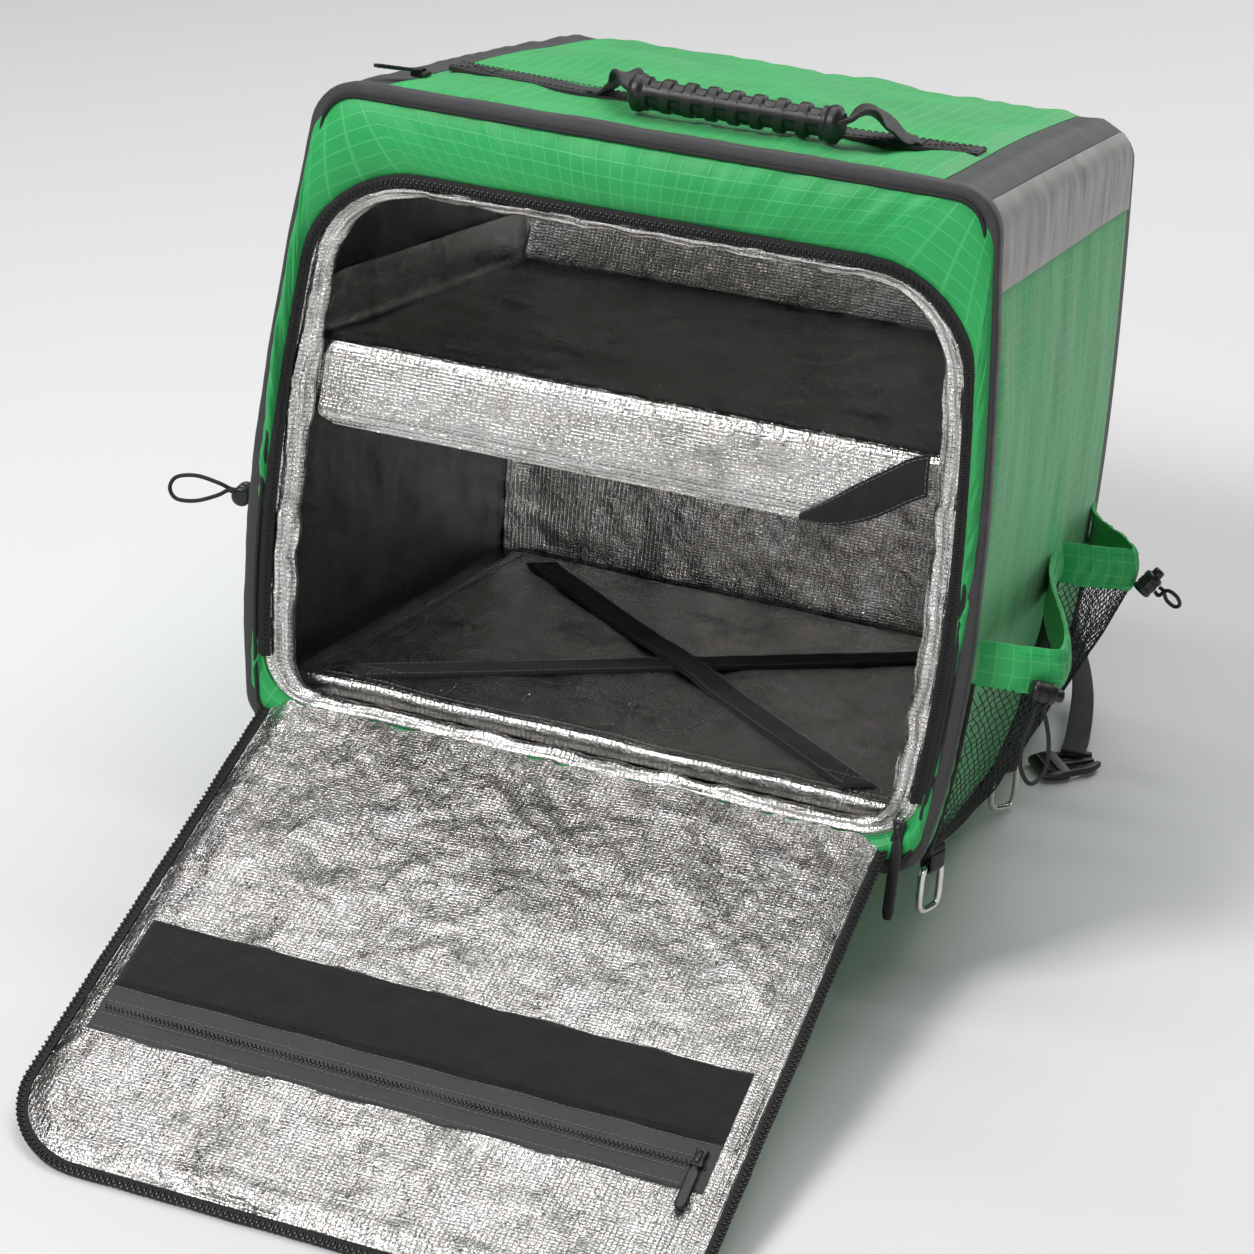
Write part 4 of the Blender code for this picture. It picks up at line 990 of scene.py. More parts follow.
def flap_half_width(s):
    over = np.clip(s - (FLAP_LENGTH - FLAP_CORNER), 0.0, FLAP_CORNER)
    return FLAP_HALF - (FLAP_CORNER - np.sqrt(np.maximum(FLAP_CORNER**2 - over**2, 0.0)))


def flap_stations():
    straight = FLAP_LENGTH - FLAP_CORNER
    turns = np.linspace(0, 1, 17)[1:-1]
    round_end = straight + FLAP_CORNER * np.sin(math.pi / 2 * turns)
    return np.concatenate([np.linspace(0.0, straight, 96), round_end])


def flap_margin(x, s):
    """How far inside the flap's free edges a place is."""
    side = FLAP_HALF - np.abs(x)
    end = FLAP_LENGTH - s
    deep_x = np.abs(x) - (FLAP_HALF - FLAP_CORNER)
    deep_s = s - (FLAP_LENGTH - FLAP_CORNER)
    corner = FLAP_CORNER - np.hypot(np.maximum(deep_x, 0.0), np.maximum(deep_s, 0.0))
    return np.where((deep_x > 0) & (deep_s > 0), corner, np.minimum(side, end))


def flap_relief(x, s):
    """The foil face's waves and creases, calm under the two bands, with a groove at the hem's seam."""
    margin = flap_margin(x, s)
    off_bands = np.maximum(LOOP_BAND[0] - s, s - POCKET_ZIP[1])
    calm = smoothstep(0.012, 0.0, off_bands) * (np.abs(x) < BAND_HALF + 0.004)
    waves = 0.0015 * soft_noise(x * 0.8, s, 0.12, 101, 3)
    creases = 0.0008 * crease_noise(x, s, 0.050, 102, 9)
    creases = creases + 0.0006 * crease_noise(x * 1.6, s * 0.8, 0.020, 103, 9)
    groove = -0.0011 * np.exp(-(((margin - FLAP_HEM) / 0.0022) ** 2))
    groove = groove + 0.0006 * np.exp(-(((margin - 0.012) / 0.006) ** 2))
    hinge = 0.0016 * seam_pucker(s, x, 0.016, 104, 0.02)
    fade = smoothstep(0.0, 0.006, margin)
    return ((waves + creases) * (1 - calm) + groove * (1 - calm) + hinge) * fade


def build_flap():
    rim = [0.935, 0.965, 0.985, 1.0]
    shares = np.concatenate([[-share for share in reversed(rim)], np.linspace(-0.91, 0.91, 112), rim])
    s, share = np.meshgrid(flap_stations(), shares, indexing="ij")
    x = flap_half_width(s) * share
    margin = flap_margin(x, s)
    drop = 0.004 * (1 - smoothstep(-0.002, 0.014, margin))
    face = flap_relief(x, s) - drop
    middle = np.full(s.shape, -0.0050)
    clear = np.tan(FLAP_ANGLE)
    top = flap_point(x, np.maximum(s, np.maximum(-face, 0.0) * clear), face)
    seat = flap_point(x, np.maximum(s, -middle * clear), middle)
    # The flap's foil face carries the darkened foil copy: painted shade.
    piece = sheet("flap_foil", top, seat, (x, s), FOIL_FLAP_PAINTED_SHADE, "foil", "flap")
    low = -FLAP_THICKNESS + 0.0022 * (1 - smoothstep(-0.002, 0.010, margin))
    low = low + 0.0003 + 0.0004 * (soft_noise(x, s, 0.08, 105, 3) + 1)
    under = flap_point(x, np.maximum(s, -low * clear), low)
    seat = flap_point(x, np.maximum(s, -middle * clear), middle - 0.0002)
    sheet("flap_cloth", seat, under, (x, s), RIPSTOP, "ripstop", "flap")


def flap_outline(inset, start):
    """A path round the flap's three free edges, this far inside them."""
    half = FLAP_HALF - inset
    length = FLAP_LENGTH - inset
    corner = max(FLAP_CORNER - inset, 0.004)
    rows = [(half, start), (half, length - corner)]
    for angle in np.linspace(0, math.pi / 2, 24)[1:]:
        rows.append((half - corner + corner * math.cos(angle), length - corner + corner * math.sin(angle)))
    rows += [(-x, s) for x, s in reversed(rows)]
    return resampled(rows, 0.0015)


def flap_up():
    return flap_point(0.0, 0.0, 1.0) - flap_point(0.0, 0.0, 0.0)


def build_flap_zip():
    path = flap_outline(0.0, 0.008)
    tangent = unit(np.gradient(path, axis=0))
    outward = np.stack([tangent[:, 1], -tangent[:, 0]], axis=1)
    middle = np.array([0.0, 0.2])
    outward *= np.sign(((path - middle) * outward).sum(axis=1).mean())
    ends = np.array([0.0005, 0.0020, 0.0035, 0.0050, 0.0062, 0.0070])
    wave = 0.0004 * soft_noise(lengths_along(path), lengths_along(path) * 0, 0.04, 111, 2)
    reach = ends + wave[:, None] * (ends > 0.004)
    spots = path[:, None] + outward[:, None] * reach[..., None]
    uv = np.stack(np.meshgrid(lengths_along(path), ends, indexing="ij"), axis=-1)
    face = flap_point(spots[..., 0], spots[..., 1], -0.0034 + 0 * spots[..., 0])
    back = flap_point(spots[..., 0], spots[..., 1], -0.0057 + 0 * spots[..., 0])
    ride(slab("flap_zip_tape", face, back, uv, ZIP_TAPE), "webbing", "flap_zip")
    line = path + outward * 0.0052
    line = flap_point(line[:, 0], line[:, 1], -0.0036)
    ride(teeth("flap_zip_teeth", line, flap_up(), pitch=0.0020), "webbing")


def patch(name, s_range, thickness, material, slot, replaced, relief, rows=20):
    """A flat band on the flap with softened edges."""
    places = np.linspace(-BAND_HALF, BAND_HALF, 150)
    s, x = np.meshgrid(np.linspace(*s_range, rows), places, indexing="ij")
    around = np.minimum(np.minimum(s - s_range[0], s_range[1] - s), BAND_HALF - np.abs(x))
    height = GAP + thickness * (0.35 + 0.65 * smoothstep(0.0, 0.0016, around))
    height = height + relief(x, s) * smoothstep(0.0, 0.002, around)
    waver = 0.0008 * soft_noise(x, s * 0, 0.05, 121, 3)
    rim = smoothstep(0.004, 0.0, np.minimum(s - s_range[0], s_range[1] - s))
    s = s + waver * rim
    face = flap_point(x, s, height)
    back = flap_point(x, s, np.full(s.shape, 0.0001))
    return sheet(name, face, back, (x, s), material, slot, replaced)


def build_flap_details():
    def plush(x, s):
        return 0.0004 * soft_noise(x, s, 0.03, 122, 3)

    def pocket(x, s):
        low = 0.0010 * np.exp(-(((s - POCKET_COIL) / 0.0040) ** 2))
        return 0.0003 * soft_noise(x, s, 0.05, 123, 2) - low

    patch("flap_loop_tape", LOOP_BAND, 0.0016, PLUSH, "webbing", "flap_loop_band", plush)
    patch("flap_pocket_tape", POCKET_ZIP, 0.0018, TRIM, "trim", "flap_pocket_zip", pocket, 26)
    xs = np.linspace(-BAND_HALF + 0.004, BAND_HALF - 0.004, 200)
    up = flap_up()
    coil = flap_point(xs, POCKET_COIL, 0.0011)
    ride(teeth("flap_pocket_teeth", coil, up, pitch=0.0014, width=0.0034, height=0.0012), "trim")
    lines = [(flap_point(xs, s, 0.0022), up * 0.0003) for s in (0.2635, 0.2745, 0.2845, 0.2950)]
    sewn("pocket_tape_stitches", lines, THREAD_GREY, 0.00022, "trim")
    edges = (LOOP_BAND[0] + 0.003, LOOP_BAND[1] - 0.003)
    lines = [(flap_point(xs, s, 0.0021), up * 0.0003) for s in edges]
    sewn("loop_tape_stitches", lines, THREAD_BLACK, 0.00026, "webbing")
    hem = flap_outline(FLAP_HEM, 0.012)
    keep = (hem[:, 1] < LOOP_BAND[0] - 0.004) | (hem[:, 1] > POCKET_ZIP[1] + 0.004)
    line = flap_point(hem[:, 0], hem[:, 1], flap_relief(hem[:, 0], hem[:, 1]) + 0.0002)
    runs = np.split(np.arange(len(hem)), np.where(np.diff(keep.astype(int)) != 0)[0] + 1)
    marks = [(line[run], up * 0.00045) for run in runs if keep[run[0]] and len(run) > 8]
    turn = np.linspace(-0.9, 0.9, 12)
    x, s = -0.004 + 0.013 * np.sin(turn), 0.3535 + 0.007 * np.cos(turn)
    marks.append((flap_point(x, s, flap_relief(x, s) + 0.0002), up * 0.00045))
    sewn("flap_hem_stitches", marks, THREAD_GREY, 0.00026, "foil")
    tab = flap_point(0.189, np.array([0.270, 0.282]), 0.0036)
    build_slider("flap_pocket_slider", tab, (1.0, 0.0, 0.0), up, 0.0040, 0.0026, "pocket")
    s = np.array([0.283, 0.287, 0.300, 0.312])
    pull = flap_point(0.189, s, np.array([0.0046, 0.0040, 0.0034, 0.0034]))
    build_pull("flap_pocket_pull", pull, (1.0, 0.0, 0.0), 0.0034, 0.0011)


def rounded_section(half_width, half_thick, sides, power):
    turns = np.arange(sides) * math.tau / sides
    a = np.sign(np.cos(turns)) * np.abs(np.cos(turns)) ** power * half_width
    b = np.sign(np.sin(turns)) * np.abs(np.sin(turns)) ** power * half_thick
    return np.stack([a, b], axis=1)


def sweep(name, path, across, widths, thicks, material, sides=16, power=0.45):
    """A rounded bar along a path, with its width along across at each place."""
    path = np.asarray(path, float)
    tangent = unit(np.gradient(path, axis=0))
    across = unit(np.broadcast_to(np.asarray(across, float), path.shape))
    across = unit(across - tangent * (across * tangent).sum(axis=1, keepdims=True))
    up = np.cross(tangent, across)
    widths = np.broadcast_to(np.asarray(widths, float), (len(path),))
    thicks = np.broadcast_to(np.asarray(thicks, float), (len(path),))
    rings = []
    coordinates = []
    along = lengths_along(path)
    for i, centre in enumerate(path):
        section = rounded_section(widths[i], thicks[i], sides, power)
        rings.append(centre + across[i] * section[:, :1] + up[i] * section[:, 1:])
        coordinates.append(np.stack([section[:, 0], np.full(sides, along[i])], axis=1))
    return loft(name, rings, material, uvs=np.array(coordinates))


def bar(name, path, across, widths, thicks, material, slot, *nodes, sides=16, power=0.45):
    return ride(sweep(name, path, across, widths, thicks, material, sides, power), slot, *nodes)


def build_slider(node_name, ends, across, up, half_width, half_thick, label):
    """A zip slider's body: waisted, with a bridge over it for the pull."""
    start, end = np.asarray(ends[0]), np.asarray(ends[-1])
    shares = np.linspace(0, 1, 13)
    path = start + (end - start) * shares[:, None]
    waist = 1 - 0.25 * np.sin(math.pi * shares) ** 2
    thick = half_thick * 0.62
    bar(f"{label}_slider_body", path, across, half_width * waist, thick, PLASTIC, "plastic", node_name)
    up = unit(np.asarray(up, float))
    turns = np.linspace(0, math.pi, 12)
    middle = (start + end) / 2
    run = (end - start) / 2
    arch = up * (half_thick * (0.4 + 0.75 * np.sin(turns)))[:, None]
    bridge = middle + run * 0.72 * np.cos(turns)[:, None] + arch
    thick = half_thick * 0.24
    bar(f"{label}_slider_bridge", bridge, across, half_width * 0.34, thick, PLASTIC, "plastic")


def build_pull(name, path, across, half_width, half_thick):
    """A zip pull: a ring end, a narrow neck and a ribbed tab."""
    path = smooth_route(path, 10)
    shares = np.linspace(0, 1, len(path))
    neck = 0.62 + 0.38 * smoothstep(0.18, 0.34, shares)
    width = half_width * neck * (1 - 0.35 * smoothstep(0.94, 1.0, shares))
    ribs = 1 + 0.16 * (np.sin(shares * math.tau * 9) > 0) * (shares > 0.5)
    bar(name, path, across, width, half_thick * ribs, PLASTIC, "plastic")


# The inside

BOARD_HALF = 0.196
BOARD_FRONT = 0.028
BOARD_REAR = 0.400
BOARD_LOW = 0.0203
BOARD_HIGH = 0.0343
WEBBING_HALF = 0.0125


def board_top(x, y):
    """The floor board's foil face, with soft dents and creases."""
    dents = 0.0006 * soft_noise(x, y, 0.09, 131, 3)
    return BOARD_HIGH + dents + 0.0005 * crease_noise(x, y, 0.06, 132, 8)


def build_floor():
    half, front, rear = BOARD_HALF, BOARD_FRONT, BOARD_REAR
    rim = [0.0, 0.0012, 0.003]
    right = [half - step for step in reversed(rim)]
    xs = np.concatenate([[-x for x in reversed(right)], np.linspace(-half + 0.007, half - 0.007, 110), right])
    near = [front + step for step in rim]
    ys = np.concatenate([near, np.linspace(front + 0.007, rear - 0.004, 100), [rear]])
    x, y = np.meshgrid(xs, ys, indexing="ij")
    edge = np.minimum(np.minimum(half - np.abs(x), y - front), rear - y)
    seam = np.exp(-(((edge - 0.011) / 0.0016) ** 2))
    top = board_top(x, y) - 0.0034 * (1 - np.sqrt(np.clip(edge / 0.0045, 0, 1))) - 0.0008 * seam
    low = BOARD_LOW + 0.0030 * (1 - np.sqrt(np.clip(edge / 0.004, 0, 1)))
    face = shaped(np.stack([x, y, top], axis=-1))
    under = shaped(np.stack([x, y, low], axis=-1))
    sheet("floor_board_foil", face, under, (x, y), FOIL_SHELF, "foil", "floor_board")
    side, near, far = half - 0.0105, front + 0.0105, rear - 0.0105
    line = resampled([(-side, far, 0.0), (-side, near, 0.0), (side, near, 0.0), (side, far, 0.0)], 0.002)
    line[:, 2] = board_top(line[:, 0], line[:, 1]) - 0.0004
    sewn("floor_board_stitches", [(shaped(line), (0, 0, 0.0005))], THREAD_GREY, 0.00028, "foil")
    straps = {
        "cross_strap_lower": ((-0.168, 0.044), (0.176, 0.384), 0.0),
        "cross_strap_upper": ((0.166, 0.044), (-0.163, 0.376), 0.0021),
    }
    seams = []
    for name, (start, end, hump) in straps.items():
        start, end = np.array(start), np.array(end)
        length = float(np.linalg.norm(end - start))
        run = (end - start) / length
        side = np.array([-run[1], run[0]])
        widths = np.linspace(-WEBBING_HALF, WEBBING_HALF, 14)
        across, along = np.meshgrid(widths, np.linspace(0, length, 170), indexing="ij")
        lift = hump * smoothstep(0.060, 0.028, np.abs(along - length / 2))
        edge = np.minimum(WEBBING_HALF - np.abs(across), np.minimum(along, length - along))
        body = 0.0008 + 0.0014 * smoothstep(0.0, 0.0016, edge)
        body = body + 0.0005 * soft_noise(across, along, 0.06, 135 + len(seams), 2)
        spot = start + run * along[..., None] + side * across[..., None]
        z = BOARD_HIGH + 0.0002 + lift
        face = shaped(np.stack([spot[..., 0], spot[..., 1], z + np.maximum(body, 0.0009)], axis=-1))
        under = shaped(np.stack([spot[..., 0], spot[..., 1], z], axis=-1))
        sheet(f"{name}_band", face, under, (across, along), WEBBING, "webbing", name)
        for offset in (-0.0100, 0.0100):
            places = np.linspace(0.006, length - 0.006, 160)
            line = start + run * places[:, None] + side * offset
            rise = BOARD_HIGH + 0.0024 + hump * smoothstep(0.060, 0.028, np.abs(places - length / 2))
            seams.append((shaped(np.column_stack([line, rise])), (0, 0, 0.0005)))
        for near, far in ((0.006, 0.030), (length - 0.030, length - 0.006)):
            for offset in (-0.0095, 0.0095):
                ends = [start + run * near + side * offset, start + run * far - side * offset]
                line = np.linspace(ends[0], ends[1], 12)
                rise = np.full(12, BOARD_HIGH + 0.0024)
                seams.append((shaped(np.column_stack([line, rise])), (0, 0, 0.0005)))
    sewn("cross_strap_stitches", seams, THREAD_GREY, 0.00024, "webbing")


def build_shelf():
    half, height, rear, wing = 0.2054, 0.268, 0.386, 0.036
    wing_shares = (1.0, 0.5, 0.0)
    middle = np.linspace(-half + 0.020, half - 0.020, 7)
    edges = (half, half - 0.003, half - 0.006)
    columns = [(-x, share) for x, share in zip(edges, wing_shares)]
    columns += [(x, 0.0) for x in middle]
    columns += [(x, share) for x, share in zip(reversed(edges), reversed(wing_shares))]
    low = height - 0.056
    rows = [
        {"y": 0.0130, "z": low, "wing": 0.0, "left": 0.020, "right": 0.072},
        {"y": 0.0115, "z": low + 0.008, "wing": 0.0, "left": 0.007, "right": 0.058},
        {"y": 0.0110, "z": low + 0.022, "wing": 0.0, "left": 0.0, "right": 0.040},
        {"y": 0.0120, "z": height - 0.012, "wing": 0.0, "left": 0.0, "right": 0.016},
        {"y": 0.0150, "z": height - 0.003, "wing": 0.0, "left": 0.0, "right": 0.004},
        {"y": 0.0210, "z": height, "wing": 0.004, "left": 0.0, "right": 0.0},
        {"y": 0.0350, "z": height, "wing": 0.024, "left": 0.0, "right": 0.0},
    ]
    for y in (0.050, 0.13, 0.21, 0.29, rear - 0.012):
        rows.append({"y": y, "z": height, "wing": wing, "left": 0.0, "right": 0.0})
    for step, lift in ((0.008, 0.002), (0.005, 0.016), (0.002, 0.034)):
        rows.append({"y": rear - step, "z": height + lift, "wing": wing - lift, "left": 0.0, "right": 0.0})
    grid = []
    for row in rows:
        line = []
        for x, share in columns:
            cut = row["left"] if x < 0 else row["right"]
            inset = 0.007 * min(1.0, max(0.0, height - row["z"]) / 0.012)
            line.append((x * (1 - (cut + inset) / half), row["y"], row["z"] + row["wing"] * share))
        grid.append(line)
    grid = np.array(grid)
    under = grid + 0.004 * normals_of(grid)
    fine = []
    for skin in (grid, under):
        longer = np.stack([smooth_route(skin[:, k], 8) for k in range(skin.shape[1])], axis=1)
        fine.append(np.stack([smooth_route(longer[i], 9) for i in range(longer.shape[0])], axis=0))
    top, under = fine
    u = lengths_along(top[:, top.shape[1] // 2])[:, None] * np.ones((1, top.shape[1]))
    v = top[..., 0]
    normal = -normals_of(top)
    lip = smoothstep(0.060, 0.045, u)
    waves = 0.0009 * crease_noise(u, v, 0.035, 142, 8) + 0.0012 * soft_noise(u * 0.4, v, 0.09, 143, 2)
    relief = foil_relief(u, v, 0.0011, 141, 0.05) + lip * waves
    sides = 0.3 + 0.7 * smoothstep(0.0, 0.01, half - np.abs(v))
    fade = smoothstep(0.0, 0.004, u) * smoothstep(0.0, 0.006, u[-1:, :] - u) * sides
    top = top + normal * (relief * fade)[..., None] * 0.8
    piece = sheet("shelf_foil", shaped(top), shaped(under), (v, u), FOIL_SHELF, "foil", "shelf")
    seams = []
    for share in (0.12, 0.20):
        i = int(share * 48)
        seams.append((shaped(top[i, 8:-8] + normal[i, 8:-8] * 0.0002), (0.0, -0.0004, 0.0)))
    sewn("shelf_lip_stitches", seams, THREAD_GREY, 0.00024, "foil")


def build_lip_tape():
    places = (
        (0.112, 0.2115, 0.2160, 0.0100),
        (0.128, 0.2120, 0.2285, 0.0095),
        (0.144, 0.2165, 0.2420, 0.0090),
        (0.160, 0.2255, 0.2545, 0.0075),
        (0.174, 0.2360, 0.2650, 0.0060),
        (0.186, 0.2440, 0.2705, 0.0045),
    )
    rows = smooth_route(places, 8)
    shares = np.linspace(0, 1, 15)
    grid = []
    for x, low, high, y in rows:
        bow = 0.0025 * np.sin(math.pi * shares)
        grid.append(np.stack([np.full(15, x), y - bow, low + (high - low) * shares], axis=-1))
    grid = np.array(grid)
    u, v = np.meshgrid(lengths_along(grid[:, 7]), shares * 0.028, indexing="ij")
    face = grid.copy()
    face[..., 1] -= 0.0003 * (soft_noise(u, v, 0.02, 151, 2) + 0.5)
    back = grid + np.array([0, 0.0012, 0])
    sheet("shelf_hook_tape", shaped(face), shaped(back), (u, v), PLUSH, "webbing", "shelf_tape")
    edge = np.concatenate([face[1:-1, 1], face[-2, 2:-2], face[1:-1, -2][::-1]])
    line = shaped(edge) + np.array([0, -0.0002, 0])
    sewn("hook_tape_stitches", [(line, (0, -0.0004, 0))], THREAD_GREY, 0.00024, "webbing")


# The handle

HANDLE_HALF = 0.180
GRIP_CENTRE = 0.036
GRIP_Y = 0.056
GRIP_HALF = 0.066
GRIP_LIFT = 0.0132
HANDLE_SEAT = 0.0024
HANDLE_SEAM = 0.0098


def handle_y(x):
    return 0.088 + 0.034 * (np.asarray(x) / HANDLE_HALF) ** 2


def top_z(x, y):
    return HEIGHT + top_shift(x, y)


def build_handle():
    xs = np.linspace(-HANDLE_HALF, HANDLE_HALF, 120)
    across = np.linspace(-WEBBING_HALF, WEBBING_HALF, 12)
    x, a = np.meshgrid(xs, across, indexing="ij")
    edge = np.minimum(WEBBING_HALF - np.abs(a), HANDLE_HALF - np.abs(x))
    rise = 0.0033 + 0.0006 * smoothstep(0.0, 0.0015, edge) + 0.0004 * soft_noise(x, a, 0.05, 161, 2)
    face = shaped(np.stack([x, handle_y(x) + a, HEIGHT + rise], axis=-1))
    under = shaped(np.stack([x, handle_y(x) + a, np.full(x.shape, HEIGHT + 0.0004)], axis=-1))
    sheet("handle_band", face, under, (a, x), WEBBING, "webbing", "handle_webbing")
    seams = []
    for offset in (-HANDLE_SEAM, HANDLE_SEAM):
        line = np.stack([xs, handle_y(xs) + offset, np.full(xs.shape, HEIGHT + 0.0040)], axis=-1)
        seams.append((shaped(line), (0, 0, 0.0005)))
    inner, outer = 0.146, 0.176
    crosses = (
        (inner, -HANDLE_SEAM, outer, HANDLE_SEAM),
        (inner, HANDLE_SEAM, outer, -HANDLE_SEAM),
        (inner, -HANDLE_SEAM, inner, HANDLE_SEAM),
    )
    t = np.linspace(0, 1, 10)
    for sign in (-1, 1):
        for x0, a0, x1, a1 in crosses:
            px = sign * (x0 + (x1 - x0) * t)
            py = handle_y(px) + a0 + (a1 - a0) * t
            line = np.stack([px, py, np.full(10, HEIGHT + 0.0040)], axis=-1)
            seams.append((shaped(line), (0, 0, 0.0005)))
    sewn("handle_stitches", seams, THREAD_BLACK, 0.00030, "webbing")
    sections = (
        (0.106, 0.0020, 1.00, 0.0118, 0.0012),
        (0.098, 0.0040, 0.96, 0.0118, 0.0013),
        (0.088, 0.0130, 0.75, 0.0118, 0.0015),
        (0.079, 0.0190, 0.45, 0.0118, 0.0017),
        (0.070, 0.0150, 0.08, 0.0112, 0.0022),
        (0.064, GRIP_LIFT, 0.00, 0.0100, 0.0026),
    )
    path = smooth_route(sections, 8)
    width, thick = path[:, 3], path[:, 4] * 0.75
    for sign, label in ((-1, "left"), (1, "right")):
        x = GRIP_CENTRE + sign * path[:, 0]
        y = GRIP_Y + (handle_y(x) - GRIP_Y) * path[:, 2]
        line = np.stack([x, y, top_z(x, y) + HANDLE_SEAT + path[:, 1]], axis=-1)
        name = f"{label}_handle_riser"
        bar(name, line, (0.0, 1.0, 0.0), width, thick, WEBBING, "webbing", sides=18, power=0.35)
    xs = np.linspace(-GRIP_HALF - 0.004, GRIP_HALF + 0.004, 150)
    sides = 40
    turns = np.arange(sides) * math.tau / sides
    rings = []
    coordinates = []
    for place in xs:
        x = GRIP_CENTRE + place
        base = top_z(x, GRIP_Y) + HANDLE_SEAT + GRIP_LIFT - 0.0008
        end = smoothstep(0.0, 0.004, GRIP_HALF + 0.004 - abs(place))
        collar = smoothstep(0.011, 0.007, GRIP_HALF + 0.004 - abs(place))
        size = 0.0100 * (0.72 + 0.28 * end) + 0.0016 * collar * end
        inside = abs(place) < GRIP_HALF - 0.008
        wave = ((place / 0.0150) % 1.0) - 0.5
        slot = smoothstep(0.30, 0.22, abs(wave)) * (1.0 if inside else 0.0)
        ring = []
        for turn in turns:
            facing = smoothstep(0.20, 0.45, abs(math.sin(turn + 0.25)))
            radius = size + (0.0014 - 0.0024 * slot * facing if inside else 0.0012)
            ring.append((x, GRIP_Y + radius * math.cos(turn), base + radius * 0.96 * math.sin(turn)))
        rings.append(ring)
        coordinates.append(np.stack([turns * 0.01, np.full(sides, place)], axis=1))
    ride(loft("handle_rubber", rings, RUBBER, uvs=np.array(coordinates)), "plastic", "handle_grip")


# Side pockets

POCKETS = {
    "right_front": {"seam": 0.018, "corner": 0.036, "rear": 0.284, "out": 0.047},
    "right_rear": {"seam": 0.290, "corner": 0.308, "rear": 0.416, "out": 0.046},
    "left_front": {"seam": 0.018, "corner": 0.036, "rear": 0.284, "out": 0.010},
    "left_rear": {"seam": 0.290, "corner": 0.308, "rear": 0.416, "out": 0.022},
}
NET_LOW = 0.012
HEM_LOW = 0.128
HEM_HIGH = 0.156
SEAM_OUT = 0.0019


def pocket_surface(pocket, share, height, side):
    """Points of a pocket's outer face: share runs from front seam to rear seam, height from 0 to 1."""
    share, height = np.broadcast_arrays(np.asarray(share, float), height)
    reach = pocket["rear"] - pocket["seam"]
    turn = (pocket["corner"] - pocket["seam"]) / reach
    rise = np.sin(math.pi / 2 * np.clip(share / turn, 0, 1)) ** 0.8
    fall = 0.5 + 0.5 * np.cos(math.pi * np.clip((share - turn) / (1 - turn), 0, 1) ** 0.85)
    out = np.where(share < turn, rise, fall)
    out = GAP + SEAM_OUT + (pocket["out"] - SEAM_OUT) * out * np.clip(height, 0, 1) ** 0.75
    y = pocket["seam"] + reach * share
    z = NET_LOW + (HEM_LOW - NET_LOW) * height
    return np.stack([side * (HALF + out), y, z], axis=-1)


def build_net(name, pocket, side):
    """Knitted net: two sets of slanting strands that wave so that their cells read as diamonds."""
    wide = pocket_surface(pocket, np.linspace(0, 1, 80), np.full(80, 1.0), side)
    width = lengths_along(wide)
    tall = HEM_LOW - NET_LOW + 0.004
    total = width[-1]
    shares = np.linspace(0, 1, 80)
    pitch = 0.0046
    paths = []
    lean = 0.62
    seed = sum(map(ord, name))
    rng = np.random.default_rng(seed)
    for direction in (-1, 1):
        reach = tall * lean
        count = int((total + reach) / pitch)
        for i in range(count + 1):
            start = -reach * (direction > 0) + i * pitch + (total + reach - count * pitch) / 2
            t = np.linspace(0, 1, 27)
            u = start + direction * reach * t
            u = u + 0.0006 * np.sin(t * tall / pitch * math.pi + i) + rng.normal(0, 0.00012, len(t))
            keep = (u > 0.0005) & (u < total - 0.0005)
            if keep.sum() < 3:
                continue
            u, h = u[keep], t[keep]
            share = np.interp(u, width, shares)
            point = pocket_surface(pocket, share, h, side)
            sag = 0.0012 * soft_noise(u, h * tall, 0.05, seed, 2) * np.sin(math.pi * np.clip(h, 0, 1))
            point[:, 0] += side * sag
            point[:, 0] = side * np.maximum(side * point[:, 0], HALF + 0.0012)
            paths.append(shaped(point))
    net = tubes(f"{name}_net_strands", paths, 0.00042, NET, 3)
    ride(net, "net", f"{name}_net")
    low = pocket_surface(pocket, shares, np.full(80, 0.0), side)
    front = pocket_surface(pocket, np.zeros(40), np.linspace(0, 1, 40), side)
    rear = pocket_surface(pocket, np.ones(40), np.linspace(0, 1, 40), side)
    edges = [shaped(line) for line in (low, front, rear)]
    ride(tubes(f"{name}_net_binding", edges, 0.0015, PIPING, 8), "net")


